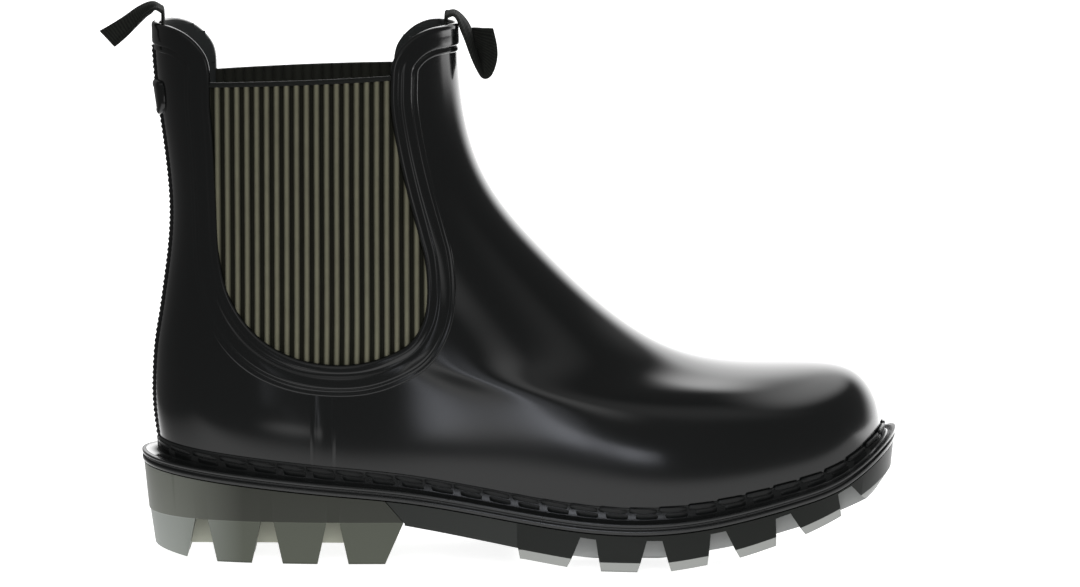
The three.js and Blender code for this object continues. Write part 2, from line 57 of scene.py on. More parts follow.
# A row for each level from the sole to the collar
levels = {
    "back": [0, -0.0077, -0.0088, -0.0058, 0.0004, 0.0062, 0.0128, 0.016, 0.0117, 0.0036, -0.0051, -0.0087],
    "backRise": [0.1895, 0.267, 0.327, 0.391, 0.446, 0.5, 0.569, 0.6485, 0.7327, 0.8168, 0.906, 1],
    "front": [1, 0.995, 0.9727, 0.918, 0.8104, 0.7083, 0.6172, 0.5334, 0.4677, 0.4295, 0.413, 0.4072],
    "frontRise": [0.219, 0.272, 0.327, 0.3584, 0.3639, 0.3871, 0.4614, 0.5653, 0.6663, 0.7673, 0.8812, 1],
    "sag": [1, 0.93, 0.8, 0.63, 0.47, 0.33, 0.2, 0.1, 0.04, 0.01, 0, 0],
    "leg": [0, 0, 0, 0.1, 0.28, 0.5, 0.68, 0.83, 0.93, 1, 1, 1],
    "girth": [1, 1.035, 1.03, 1.01, 0.98, 0.97, 0.985, 1, 1.01, 1, 1, 1],
}
footPlan = {
    "along": [0, 0.1, 0.235, 0.33, 0.47, 0.65, 0.756, 0.88, 1],
    "outer": [1.244, 0.978, 0.787, 0.702, 0.776, 1.033, 1.144, 1.267, 1.444],
    "inner": [1.244, 0.978, 0.782, 0.693, 0.689, 0.92, 1.067, 1.2, 1.444],
}
legPlan = {"along": [0, 0.25, 0.5, 0.75, 1], "half": [1.233, 1.045, 1, 1.027, 1.13]}
seatRows = {
    "along": [-0.03, 0.09, 0.23, 0.33, 0.47, 0.56, 0.63, 0.7, 0.78, 0.88, 0.94, 0.98, 1.02],
    "rise": [1, 0.905, 0.81, 0.744, 0.608, 0.528, 0.497, 0.51, 0.587, 0.741, 0.869, 1.031, 1.231],
}
treadRows = {
    "along": [0.5, 0.553, 0.6, 0.69, 0.747, 0.795, 0.842, 0.888, 0.934, 0.97, 1.015],
    "rise": [0.108, 0.045, 0, 0, 0.07, 0.146, 0.253, 0.372, 0.52, 0.658, 0.88],
}
shelfRows = {"along": [0, 0.2, 0.5, 0.8, 1], "width": [7.7, 7.3, 6.6, 6.3, 5.2]}

topLevel = len(levels["back"]) - 1
levels["level"] = list(range(topLevel + 1))


# Natural cubic spline through one column of a table
def spline(places, values):
    at = np.array(places, float)
    value = np.array(values, float)
    count = len(at)
    step = np.diff(at)
    slope = np.diff(value) / step
    system = np.eye(count)
    right = np.zeros(count)
    for i in range(1, count - 1):
        system[i, i - 1:i + 2] = step[i - 1], 2 * (step[i - 1] + step[i]), step[i]
        right[i] = 6 * (slope[i] - slope[i - 1])
    bend = np.linalg.solve(system, right)

    def curve(place):
        i = np.clip(np.searchsorted(at, place, side="right") - 1, 0, count - 2)
        a = (at[i + 1] - place) / step[i]
        b = 1 - a
        bow = ((a ** 3 - a) * bend[i] + (b ** 3 - b) * bend[i + 1]) * step[i] ** 2 / 6
        return a * value[i] + b * value[i + 1] + bow

    return curve


def splines(table, key):
    return {column: spline(table[key], table[column]) for column in table if column != key}


level = splines(levels, "level")
foot = splines(footPlan, "along")
leg = splines(legPlan, "along")
seatCurve = spline(seatRows["along"], seatRows["rise"])
treadCurve = spline(treadRows["along"], treadRows["rise"])
shelfCurve = spline(shelfRows["along"], shelfRows["width"])


def mix(a, b, share):
    return a + (b - a) * share


def unit(vectors):
    return vectors / np.linalg.norm(vectors, axis=-1, keepdims=True)


def alongOf(x):
    return (x + last["heelToOrigin"]) / last["length"]


def turnOf(along, side):
    turn = np.arccos(np.clip(1 - 2 * along, -1, 1)) / (2 * pi)
    return np.where(side > 0, turn, 1 - turn)


def seatZ(x):
    return seatCurve(alongOf(x)) * last["seatHeight"]


def treadZ(x):
    return np.maximum(treadCurve(np.maximum(alongOf(x), treadRows["along"][0])), 0) * last["treadHeight"]


def swingAt(share):
    start = last["swingStart"]
    return last["toeSwing"] * np.maximum((share - start) / (1 - start), 0) ** 3


# A point of the upper's outer face: height is the level, turn goes once round from the back seam
def lastPoint(height, turn):
    angle = 2 * pi * turn
    along = (1 - np.cos(angle)) / 2
    share = mix(level["back"](height), level["front"](height), along)
    seatLine = mix(level["backRise"](0), level["frontRise"](0), along) * last["collarHeight"]
    sag = seatLine - seatCurve(along) * last["seatHeight"] - last["seatGap"]
    chord = mix(level["backRise"](height), level["frontRise"](height), along) * last["collarHeight"]
    plan = np.where(np.sin(angle) > 0, foot["inner"](along), foot["outer"](along)) * last["ballHalfWidth"]
    legHalf = leg["half"](along) * last["collarHalfWidth"]
    half = mix(plan, legHalf, level["leg"](height)) * level["girth"](height)
    x = share * last["length"] - last["heelToOrigin"]
    y = swingAt(share) + np.sin(angle) * half
    return np.stack([x, y, chord - sag * level["sag"](height)], -1)


# Ways up and round in the surface, for a change of one level and of one turn
def surfaceWays(height, turn):
    rise, swing = 0.01, 0.0005
    up = (lastPoint(height + rise, turn) - lastPoint(height - rise, turn)) / (2 * rise)
    ahead = (lastPoint(height, turn + swing) - lastPoint(height, turn - swing)) / (2 * swing)
    return up, ahead


def skin(height, turn, out):
    up, ahead = surfaceWays(height, turn)
    return lastPoint(height, turn) + unit(np.cross(up, ahead)) * np.asarray(out)[..., None]


# How often each search below halves its range, and how often the one from behind is repeated
sideHalvings = 26
backHalvings = 22
backRounds = 8


# Level and turn of the point that shows at x, z from the side; side is -1 outside, 1 inside
def findFromSide(x, z, side):
    low = np.zeros_like(x)
    high = np.full_like(x, topLevel)
    for _ in range(sideHalvings):
        height = (low + high) / 2
        back, front = level["back"](height), level["front"](height)
        turn = turnOf((alongOf(x) - back) / (front - back), side)
        under = lastPoint(height, turn)[..., 2] < z
        low = np.where(under, height, low)
        high = np.where(under, high, height)
    return height, turn


# The same for a point that shows at y, z from behind
def findFromBack(y, z):
    turn = np.zeros_like(y)
    for _ in range(backRounds):
        low = np.zeros_like(y)
        high = np.full_like(y, topLevel)
        for _ in range(backHalvings):
            height = (low + high) / 2
            under = lastPoint(height, turn)[..., 2] < z
            low = np.where(under, height, low)
            high = np.where(under, high, height)
        near = np.where(y < 0, -1e-4, 1e-4)
        half = lastPoint(height, near)[..., 1] / np.sin(2 * pi * near)
        turn = np.arcsin(np.clip(y / half, -0.95, 0.95)) / (2 * pi)
    return height, turn


# A point outside the seat line, moved straight out in plan
def soleEdge(turn, offset):
    step = 0.002
    way = lastPoint(0, turn + step) - lastPoint(0, turn - step)
    out = unit(np.stack([-way[..., 1], way[..., 0], 0 * way[..., 0]], -1))
    return lastPoint(0, turn) + out * np.asarray(offset)[..., None]


def lipEdge(turn, inset):
    return soleEdge(turn, shelfCurve((1 - np.cos(2 * pi * turn)) / 2) - inset)


def atHeight(points, z):
    return np.stack([points[..., 0], points[..., 1], z], -1)


# Mesh helpers: a primitive is added, shaped and finished as by hand
def readPoints(piece):
    places = np.empty(len(piece.data.vertices) * 3)
    piece.data.vertices.foreach_get("co", places)
    return places.reshape(-1, 3)


def writePoints(piece, points):
    piece.data.vertices.foreach_set("co", np.ascontiguousarray(points, float).ravel())
    piece.data.update()


def holdAlone(piece):
    bpy.ops.object.select_all(action="DESELECT")
    piece.select_set(True)
    bpy.context.view_layer.objects.active = piece


def named(piece, name):
    piece.name = name
    piece.data.name = name
    return piece


# Flat sheet whose x and y run from 0 to 1
def addSheet(name, columns, rows):
    bpy.ops.object.select_all(action="DESELECT")
    bpy.ops.mesh.primitive_grid_add(x_subdivisions=columns, y_subdivisions=rows, size=1)
    piece = named(bpy.context.object, name)
    writePoints(piece, readPoints(piece) + (0.5, 0.5, 0))
    return piece


# Sheet extruded up into layers, a block whose z counts them
def addBlock(name, columns, rows, layers):
    piece = addSheet(name, columns, rows)
    bpy.ops.object.mode_set(mode="EDIT")
    bpy.ops.mesh.select_all(action="SELECT")
    for _ in range(layers):
        bpy.ops.mesh.extrude_region_move(TRANSFORM_OT_translate={"value": (0, 0, 1)})
    bpy.ops.object.mode_set(mode="OBJECT")
    return piece


# The map's shares across and along become lengths in metres
def layMap(piece, place):
    cover = piece.data.uv_layers[0].uv
    flat = np.empty(len(cover) * 2)
    cover.foreach_get("vector", flat)
    flat = flat.reshape(-1, 2)
    lengths = np.stack(place(flat[:, 0], flat[:, 1]), -1) * mm
    cover.foreach_set("vector", np.ascontiguousarray(lengths).ravel())


def shape(piece, place):
    points = readPoints(piece)
    writePoints(piece, place(*points.T) * mm)
    return piece


def editAll(piece, *steps):
    holdAlone(piece)
    bpy.ops.object.mode_set(mode="EDIT")
    bpy.ops.mesh.select_all(action="SELECT")
    for step, words in steps:
        step(**words)
    bpy.ops.object.mode_set(mode="OBJECT")
    return piece


def weld(piece, reach=0.002):
    return editAll(
        piece,
        (bpy.ops.mesh.remove_doubles, {"threshold": reach * mm}),
        (bpy.ops.mesh.dissolve_degenerate, {"threshold": reach * mm / 4}),
        (bpy.ops.mesh.normals_make_consistent, {"inside": False}),
    )


# Joins the first and last column of a tube laid out flat, and closes its ends
def closeTube(piece):
    return editAll(
        piece,
        (bpy.ops.mesh.remove_doubles, {"threshold": 0.002 * mm}),
        (bpy.ops.mesh.fill_holes, {"sides": 0}),
        (bpy.ops.mesh.normals_make_consistent, {"inside": False}),
    )


def dropFaces(piece, unwanted):
    holdAlone(piece)
    bpy.ops.object.mode_set(mode="EDIT")
    bpy.ops.mesh.select_mode(type="FACE")
    bpy.ops.mesh.select_all(action="DESELECT")
    bpy.ops.object.mode_set(mode="OBJECT")
    piece.data.polygons.foreach_set("select", unwanted)
    bpy.ops.object.mode_set(mode="EDIT")
    bpy.ops.mesh.delete(type="FACE")
    bpy.ops.mesh.select_mode(type="VERT")
    bpy.ops.object.mode_set(mode="OBJECT")


def faceCentres(piece):
    centres = np.empty(len(piece.data.polygons) * 3)
    piece.data.polygons.foreach_get("center", centres)
    return centres.reshape(-1, 3) / mm


def modify(piece, kind, **settings):
    holdAlone(piece)
    modifier = piece.modifiers.new(kind.lower(), kind)
    for setting, value in settings.items():
        setattr(modifier, setting, value)
    bpy.ops.object.modifier_apply(modifier=modifier.name)
    return piece


def thicken(piece, depth):
    return modify(piece, "SOLIDIFY", thickness=depth * mm, offset=-1, use_rim=True)


def smooth(piece, angle=35):
    holdAlone(piece)
    bpy.ops.object.shade_smooth_by_angle(angle=radians(angle))
    return piece


def finishPiece(piece, finish, slot, *nodes):
    piece.data.materials.clear()
    for one in finish if isinstance(finish, (list, tuple)) else [finish]:
        piece.data.materials.append(one)
    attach(piece, "root")
    if nodes:
        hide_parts(*nodes)
    print("made", piece.name, len(piece.data.polygons), "faces")
    return piece


# Finishes
# Shared effect: slow clouding and fine grain of moulded rubber
def buildMouldedGrain():
    group = bpy.data.node_groups.new("mouldedGrain", "ShaderNodeTree")
    for socket, kind in (("Cloud Scale", "NodeSocketFloat"), ("Grain Scale", "NodeSocketFloat")):
        group.interface.new_socket(socket, in_out="INPUT", socket_type=kind)
    for socket in ("Cloud", "Grain", "Speck"):
        group.interface.new_socket(socket, in_out="OUTPUT", socket_type="NodeSocketFloat")
    nodes, links = group.nodes, group.links
    given = nodes.new("NodeGroupInput")
    result = nodes.new("NodeGroupOutput")
    place = nodes.new("ShaderNodeTexCoord")
    for socket, scale, detail in (("Cloud", "Cloud Scale", 3), ("Grain", "Grain Scale", 4)):
        noise = nodes.new("ShaderNodeTexNoise")
        noise.inputs["Detail"].default_value = detail
        links.new(place.outputs["Object"], noise.inputs["Vector"])
        links.new(given.outputs[scale], noise.inputs["Scale"])
        links.new(noise.outputs["Fac"], result.inputs[socket])
        if socket == "Grain":
            speck = nodes.new("ShaderNodeMapRange")
            speck.inputs["From Min"].default_value = 0.66
            speck.inputs["From Max"].default_value = 0.74
            links.new(noise.outputs["Fac"], speck.inputs["Value"])
            links.new(speck.outputs["Result"], result.inputs["Speck"])
    return group


mouldedGrain = buildMouldedGrain()


def newFinish(name, colour, roughness, **sockets):
    finish = bpy.data.materials.new(name)
    finish.use_nodes = True
    shader = finish.node_tree.nodes["Principled BSDF"]
    shader.inputs["Base Color"].default_value = (*colour, 1)
    shader.inputs["Roughness"].default_value = roughness
    for socket, value in sockets.items():
        shader.inputs[socket].default_value = value
    return finish, finish.node_tree.nodes, finish.node_tree.links, shader


def rangeNode(nodes, links, source, low, high, fromLow=0.35, fromHigh=0.65):
    spread = nodes.new("ShaderNodeMapRange")
    spread.inputs["From Min"].default_value = fromLow
    spread.inputs["From Max"].default_value = fromHigh
    spread.inputs["To Min"].default_value = low
    spread.inputs["To Max"].default_value = high
    links.new(source, spread.inputs["Value"])
    return spread.outputs["Result"]


def mathNode(nodes, links, operation, *values):
    node = nodes.new("ShaderNodeMath")
    node.operation = operation
    for socket, value in zip(node.inputs, values):
        if isinstance(value, (int, float)):
            socket.default_value = value
        else:
            links.new(value, socket)
    return node.outputs[0]


# Eased step from one value to another
def easeNode(nodes, links, source, start, end, low=0, high=1):
    ease = nodes.new("ShaderNodeMapRange")
    ease.interpolation_type = "SMOOTHSTEP"
    for socket, value in (("From Min", start), ("From Max", end), ("To Min", low), ("To Max", high)):
        ease.inputs[socket].default_value = value
    links.new(source, ease.inputs["Value"])
    return ease.outputs["Result"]


def splitPlace(nodes, links, source):
    place = nodes.new("ShaderNodeTexCoord")
    parts = nodes.new("ShaderNodeSeparateXYZ")
    links.new(place.outputs[source], parts.inputs["Vector"])
    return [parts.outputs[axis] for axis in "XYZ"]


# Blend of two colours, the light one given as a colour or as a socket
def mixColours(nodes, links, share, dark, light):
    blend = nodes.new("ShaderNodeMix")
    blend.data_type = "RGBA"
    blend.inputs["A"].default_value = (*dark, 1)
    if isinstance(light, tuple):
        blend.inputs["B"].default_value = (*light, 1)
    else:
        links.new(light, blend.inputs["B"])
    links.new(share, blend.inputs["Factor"])
    return blend.outputs["Result"]


def bump(nodes, links, shader, height, strength, distance):
    relief = nodes.new("ShaderNodeBump")
    relief.inputs["Strength"].default_value = strength
    relief.inputs["Distance"].default_value = distance
    links.new(height, relief.inputs["Height"])
    links.new(relief.outputs["Normal"], shader.inputs["Normal"])
    return relief


def grainNode(nodes, cloudScale, grainScale):
    grain = nodes.new("ShaderNodeGroup")
    grain.node_tree = mouldedGrain
    grain.inputs["Cloud Scale"].default_value = cloudScale
    grain.inputs["Grain Scale"].default_value = grainScale
    return grain


# Moulded rubber: colour and roughness drift with the cloud, and a faint grain breaks the gloss
def rubberFinish(name, dark, light, roughness, grainDepth, cloudScale=14, grainScale=2600, **sockets):
    finish, nodes, links, shader = newFinish(name, dark, roughness[0], **sockets)
    grain = grainNode(nodes, cloudScale, grainScale)
    links.new(mixColours(nodes, links, grain.outputs["Cloud"], dark, light), shader.inputs["Base Color"])
    links.new(rangeNode(nodes, links, grain.outputs["Cloud"], *roughness), shader.inputs["Roughness"])
    bump(nodes, links, shader, grain.outputs["Grain"], 0.25, grainDepth)
    return finish


# Lowers the reflection of a dull surface
def dullness(share):
    return {"Specular IOR Level": share}


upperGloss = rubberFinish("upperGloss", (0.0038, 0.0042, 0.0042), (0.0046, 0.005, 0.005), (0.13, 0.17),
                          0.00001)
weltBlack = rubberFinish("weltBlack", (0.005, 0.0055, 0.0055), (0.0065, 0.007, 0.007), (0.2, 0.28), 0.00003)
stitchBlack = rubberFinish("stitchBlack", (0.004, 0.0045, 0.0045), (0.0055, 0.006, 0.006), (0.26, 0.34),
                           0.00003, **dullness(0.28))
outsoleBlack = rubberFinish("outsoleBlack", (0.005, 0.006, 0.005), (0.0065, 0.0075, 0.0063), (0.42, 0.5),
                            0.00004, **dullness(0.2))
shankBlack = rubberFinish("shankBlack", (0.013, 0.0145, 0.013), (0.017, 0.0185, 0.017), (0.42, 0.5),
                          0.00004, **dullness(0.2))
# Painted light: a pale grey for the lug bevels that face down, standing in for the white floor they reflect
# and its glow
paintedBevelGlow = rubberFinish("paintedBevelGlow", (0.155, 0.161, 0.152), (0.185, 0.192, 0.181), (0.4, 0.5), 0.00004)
# Painted light: a pale grey for the webs in the forefoot channels, standing in for light from the floor
# shining through the rubber
paintedWebGlow = rubberFinish("paintedWebGlow", (0.24, 0.247, 0.242), (0.28, 0.288, 0.282), (0.45, 0.5), 0.00004)
liningGrey = rubberFinish("liningGrey", (0.016, 0.018, 0.018), (0.024, 0.026, 0.026), (0.85, 0.95),
                          0.0004, 30, 900)
footbedGrey = rubberFinish("footbedGrey", (0.02, 0.022, 0.021), (0.032, 0.034, 0.033), (0.85, 0.95),
                           0.0004, 30, 900)
bindingBlack = rubberFinish("bindingBlack", (0.006, 0.0065, 0.006), (0.01, 0.0105, 0.0095), (0.6, 0.75),
                            0.0002, 60, 1200, **dullness(0.2))
# Painted shade: a near-black for the gusset's inner face, which lies in the shade inside the boot
elasticBackShaded = rubberFinish("elasticBackShaded", (0.008, 0.0085, 0.007), (0.016, 0.0165, 0.013), (0.85, 0.95),
                           0.0003, 90, 1200)


# Olive rubber of the heel, with painted light: paler round its back, standing in for light shining through
# the translucent rubber and the sheen on its rounded back
def heelFinish(name, side, back):
    finish, nodes, links, shader = newFinish(name, side, 0.45, **dullness(0.3))
    # Painted light: the share grows towards the back and mixes in the paler colour
    share = rangeNode(nodes, links, splitPlace(nodes, links, "Object")[0], 1, 0, -0.03, 0.004)
    links.new(mixColours(nodes, links, share, side, back), shader.inputs["Base Color"])
    return finish


heelOlive = heelFinish("heelOlive", (0.017, 0.0185, 0.0135), (0.1, 0.106, 0.09))
# Painted light: paler lugs, standing in for light from the floor shining through the thin translucent lugs
heelLugGlow = heelFinish("heelLugGlow", (0.047, 0.052, 0.039), (0.19, 0.205, 0.19))
# Painted light: a very pale colour for the webs in the heel's channels, standing in for light shining through
# the thin rubber
heelWeb = heelFinish("heelWeb", (0.36, 0.37, 0.3), (0.36, 0.37, 0.31))


# Woven tape: fine ribs across it, a dull olive black
def webbingFinish():
    finish, nodes, links, shader = newFinish("webbingBlack", (0.02, 0.02, 0.02), 0.9, **dullness(0.2))
    cover = nodes.new("ShaderNodeTexCoord")
    weave = nodes.new("ShaderNodeTexWave")
    weave.bands_direction = "Y"
    weave.inputs["Scale"].default_value = 260
    weave.inputs["Distortion"].default_value = 2.5
    weave.inputs["Detail"].default_value = 2
    weave.inputs["Detail Scale"].default_value = 3
    links.new(cover.outputs["UV"], weave.inputs["Vector"])
    links.new(mixColours(nodes, links, weave.outputs["Fac"], (0.008, 0.0085, 0.008), (0.017, 0.0185, 0.016)),
              shader.inputs["Base Color"])
    bump(nodes, links, shader, weave.outputs["Fac"], 0.3, 0.0003)
    return finish


webbingBlack = webbingFinish()


# The edge of the side opening and of the two tabs, as the opening's table and the tabs' corner give it
opening = {
    "width": 81.3,
    "height": 105.2,
    "back": -8.4,
    "tabLength": 26,
    "tabHeight": 21,
    "dip": 3,
    "rows": {
        "across": [0, 0.012, 0.025, 0.04, 0.085, 0.17, 0.27, 0.4, 0.55, 0.7, 0.82, 0.918, 0.98, 1, 0.99,
                   0.962, 0.905, 0.861, 0.831],
        "up": [0.92, 0.8, 0.56, 0.373, 0.237, 0.135, 0.068, 0.021, 0, 0.005, 0.034, 0.08, 0.158, 0.244, 0.376,
               0.462, 0.623, 0.771, 0.92],
        "frame": [1, 1, 1, 1.02, 1.1, 1.18, 1.2, 1.16, 1.12, 1.12, 1.1, 1.06, 1, 1, 1, 1, 1, 1, 1],
    },
    "tab": {"in": [0, 0.01, 0.05, 0.16, 0.34, 0.56, 0.8], "up": [0.1, 0.28, 0.46, 0.66, 0.85, 0.965, 1]},
}
gussetTop = last["collarHeight"] - opening["tabHeight"]
gussetFoot = gussetTop - opening["height"]


# Smooth curve through knots, with knot spacing by the square root of their distance
def throughKnots(knots, fineness):
    ends = [2 * knots[0] - knots[1], *knots, 2 * knots[-1] - knots[-2]]
    points = []
    for i in range(len(knots) - 1):
        p0, p1, p2, p3 = ends[i:i + 4]
        t1 = np.linalg.norm(p1 - p0) ** 0.5
        t2 = t1 + np.linalg.norm(p2 - p1) ** 0.5
        t3 = t2 + np.linalg.norm(p3 - p2) ** 0.5
        for t in np.linspace(t1, t2, fineness, endpoint=False):
            a1 = mix(p0, p1, t / t1)
            a2 = mix(p1, p2, (t - t1) / (t2 - t1))
            a3 = mix(p2, p3, (t - t2) / (t3 - t2))
            b1 = mix(a1, a2, t / t2)
            b2 = mix(a2, a3, (t - t1) / (t3 - t1))
            points.append(mix(b1, b2, (t - t1) / (t2 - t1)))
    return np.array([*points, knots[-1]])


# Side view of the edge: x, z and the frame's factor, from the back tab's top to the front tab's top
def openingLine(fineness=6):
    rows, tab = opening["rows"], opening["tab"]
    xs = opening["back"] + np.array(rows["across"]) * opening["width"]
    zs = gussetFoot + np.array(rows["up"]) * opening["height"]
    inward = np.array(tab["in"]) * opening["tabLength"]
    rise = gussetTop + np.array(tab["up"]) * opening["tabHeight"]
    ones = np.ones(len(inward))
    backTab = np.stack([opening["back"] - inward, rise, ones], -1)[::-1]
    frontTab = np.stack([xs[-1] + inward, rise, ones], -1)
    edge = np.stack([xs, zs, rows["frame"]], -1)
    return throughKnots([*backTab, *edge, *frontTab], fineness)


# Evenly spaced stations of a line, by its length in space
def evenStations(line, columns, count, closed=False):
    length = np.concatenate([[0], np.cumsum(np.linalg.norm(np.diff(line, axis=0), axis=1))])
    places = np.linspace(0, length[-1], count + (1 if closed else 0))
    places = places[:-1] if closed else places
    return places, [np.interp(places, length, column) for column in columns]


# Stations along each half of a tab's flat top
tabStations = 12


# The whole collar edge, once round: level, turn and frame factor of each station
def collarEdge(count):
    side = openingLine()
    half = side[(side[:, 1] < last["collarHeight"] - 0.01)]
    halves = []
    for way in (1, -1):
        height, turn = findFromSide(half[:, 0], half[:, 1], np.full(len(half), way))
        flat = np.linspace(0, 1, tabStations, endpoint=False)
        start, end = turn[0], turn[-1]
        home, far = (0 if way > 0 else 1), 0.5
        top, plain = np.full(tabStations, topLevel), np.ones(tabStations)
        heights = np.concatenate([top, height, top])
        turns = np.concatenate([mix(home, start, flat), turn, mix(end, far, flat + 1 / tabStations)])
        factors = np.concatenate([plain, half[:, 2], plain])
        halves.append((heights, turns, factors))
    inner, outer = halves
    heights = np.concatenate([inner[0], outer[0][::-1][1:]])
    turns = np.concatenate([inner[1], outer[1][::-1][1:]])
    factors = np.concatenate([inner[2], outer[2][::-1][1:]])
    line = lastPoint(heights, turns)
    lengths, (heights, turns, factors) = evenStations(line, (heights, turns, factors), count, closed=True)
    return lengths, heights, turns, factors


# Walks from stations across the surface in their own direction: level and turn after each step
def walkAcross(heights, turns, ways, step, count):
    tracks = [(heights, turns)]
    for _ in range(count):
        up, ahead = surfaceWays(heights, turns)
        normal = unit(np.cross(up, ahead))
        ways = unit(ways - normal * np.sum(ways * normal, -1, keepdims=True))
        uu, ua, aa = (np.sum(a * b, -1) for a, b in ((up, up), (up, ahead), (ahead, ahead)))
        uw, aw = np.sum(up * ways, -1), np.sum(ahead * ways, -1)
        spread = uu * aa - ua * ua
        heights = heights + step * (uw * aa - aw * ua) / spread
        turns = turns + step * (aw * uu - uw * ua) / spread
        tracks.append((heights, turns))
    return [np.array(track) for track in zip(*tracks)]


# Collar frame: a lip, a groove and a flat band, once round the collar and the gusset openings
collarFrame = {
    "stations": 640,
    "step": 0.35,
    "reach": 12,
    "band": {
        "across": [11, 10.85, 10.7, 10.45, 10.15, 9.85, 9.6, 9.3, 9.05, 8.85, 8.6, 8.4, 8.2, 8, 7.8, 7.4,
                   6.3, 5.3, 4.9, 4.6, 4.35, 4.1, 3.7, 3.3, 3, 2.7, 2.35, 1.9, 1.3, 0.8, 0.45, 0.18, 0],
        "raise": [-0.5, 0, 0.28, 0.44, 0.48, 0.44, 0.38, 0.38, 0.44, 0.54, 0.56, 0.5, 0.4, 0.5, 0.6, 0.66,
                  0.7, 0.7, 0.66, 0.56, 0.42, 0.33, 0.3, 0.33, 0.44, 0.58, 0.7, 0.78, 0.8, 0.72, 0.5, 0.1,
                  -0.5],
        "tabRaise": [-0.5, 0, 0.3, 0.48, 0.52, 0.5, 0.46, 0.4, 0.3, 0.16, 0.1, 0.3, 0.66, 0.86, 0.94, 0.98,
                     0.98, 0.96, 0.95, 0.94, 0.93, 0.92, 0.92, 0.92, 0.92, 0.93, 0.94, 0.95, 0.94, 0.84,
                     0.56, 0.1, -0.5],
    },
    "inside": {"across": [0.35, 0.9, 1.7, 4, 8, 8.6], "deep": [1.2, 1.9, 2.45, 2.6, 2.6, 1.6]},
    "tabStart": (184, 195),
}


def frameTracks():
    lengths, heights, turns, factors = collarEdge(collarFrame["stations"])
    line = lastPoint(heights, turns)
    tangent = unit(np.roll(line, -2, 0) - np.roll(line, 2, 0))
    normal = unit(np.cross(*surfaceWays(heights, turns)))
    ways = np.cross(tangent, normal)
    if ways[0, 2] > 0:
        ways = -ways
    count = int(collarFrame["reach"] / collarFrame["step"]) + 1
    step = collarFrame["step"] * factors
    return lengths, line, walkAcross(heights, turns, ways, step, count)


edgeLengths, edgeLine, frameTrack = frameTracks()


def collarPoint(station, across, out):
    share = np.clip(across / collarFrame["step"], 0, len(frameTrack[0]) - 1.001)
    row = share.astype(int)
    rest = share - row
    heights = mix(frameTrack[0][row, station], frameTrack[0][row + 1, station], rest)
    turns = mix(frameTrack[1][row, station], frameTrack[1][row + 1, station], rest)
    return skin(heights, turns, out)


def makeCollarFrame():
    band, inside = collarFrame["band"], collarFrame["inside"]
    across = np.array(band["across"] + inside["across"] + [band["across"][0]])
    plain, tab = (np.array(band[key] + [-deep for deep in inside["deep"]] + [band[key][0]])
                  for key in ("raise", "tabRaise"))
    count, rows = collarFrame["stations"], len(across) - 1
    piece = addSheet("collar_frame", count, rows)
    total = edgeLengths[-1] + edgeLengths[1]
    reach = np.concatenate([[0], np.cumsum(np.hypot(np.diff(across), np.diff(plain)))])
    layMap(piece, lambda u, v: (u * total, np.interp(v * rows, np.arange(rows + 1), reach)))
    low, high = collarFrame["tabStart"]
    share = np.clip((edgeLine[:, 2] - low) / (high - low), 0, 1)
    share = share * share * (3 - 2 * share)

    def place(u, v, w):
        station = np.rint(u * count).astype(int) % count
        row = np.rint(v * rows).astype(int)
        return collarPoint(station, across[row], mix(plain[row], tab[row], share[station]))

    shape(piece, place)
    weld(piece)
    finishPiece(smooth(piece, 50), (upperGloss, liningGrey), "upper_gloss")
    lined = np.arange(len(piece.data.polygons)) // count
    markFaces(piece, 1, (lined > len(band["across"])) & (lined < rows - 1))
    return piece


# Upper: the moulded wall and its lining, cut away under the collar frame
upper = {"columns": 288, "rows": 112, "lowest": 0.02, "cutAcross": 6, "wall": 1.9}
lining = {"columns": 160, "rows": 72, "gap": 0.15, "cutAcross": 3.2, "wall": 0.7}


def insideOpening(points):
    line = openingLine()[:, :2]
    line = np.concatenate([[[line[0, 0] - 90, line[0, 1]]], line, [[line[-1, 0] + 90, line[-1, 1]]]])
    x, z = points[:, 0], points[:, 2]
    crossings = np.zeros(len(points), int)
    for (ax, az), (bx, bz) in zip(line[:-1], line[1:]):
        if ax != bx:
            between = (x >= min(ax, bx)) & (x < max(ax, bx))
            crossings += between & (z > az + (x - ax) * (bz - az) / (bx - ax))
    return crossings % 2 == 1


def nearEdge(points, reach):
    near = np.zeros(len(points), bool)
    for part in np.array_split(np.arange(len(points)), 40):
        apart = points[part, None, :] - edgeLine[None, ::3, :]
        near[part] = (np.sum(apart * apart, -1) < reach ** 2).any(1)
    return near


# Wall that follows the last, cut away at the openings and under the frame
def lastWall(name, out, sizes):
    piece = addSheet(name, sizes["columns"], sizes["rows"])
    shape(piece, lambda u, v, w: skin(mix(upper["lowest"], topLevel, v), 1 - u, np.full(len(u), out)))
    weld(piece)
    centres = faceCentres(piece)
    dropFaces(piece, insideOpening(centres) | nearEdge(centres, sizes["cutAcross"]))
    return smooth(thicken(piece, sizes["wall"]), 60)


def makeUpper():
    return finishPiece(lastWall("upper_wall", 0, upper), upperGloss, "upper_gloss", "upper")


def makeLining():
    piece = lastWall("lining", -last["wall"] - lining["gap"], lining)
    return finishPiece(piece, liningGrey, "lining_grey")


# Elastic gussets: upright ribs in the side openings, under a bound top edge
gusset = {
    "columns": 300,
    "rows": 60,
    "rowSpread": 0.9,
    "tuckAcross": 0.7,
    "tuck": 0.8,
    "ribStart": -5.9,
    "ribPitch": 3.75,
    "ribDepth": 1.25,
    "crestShare": 0.74,
    "recess": 0.35,
    "thickness": 1.3,
}
binding = {
    "stations": 90,
    "height": 1.7,
    "up": [-0.1, 1.7, 1.85, 1.75, 1.2, 0.5, 0.05, -0.1],
    "out": [-1.9, -1.9, -1.2, -0.4, 0, 0, -0.4, -1.2],
}
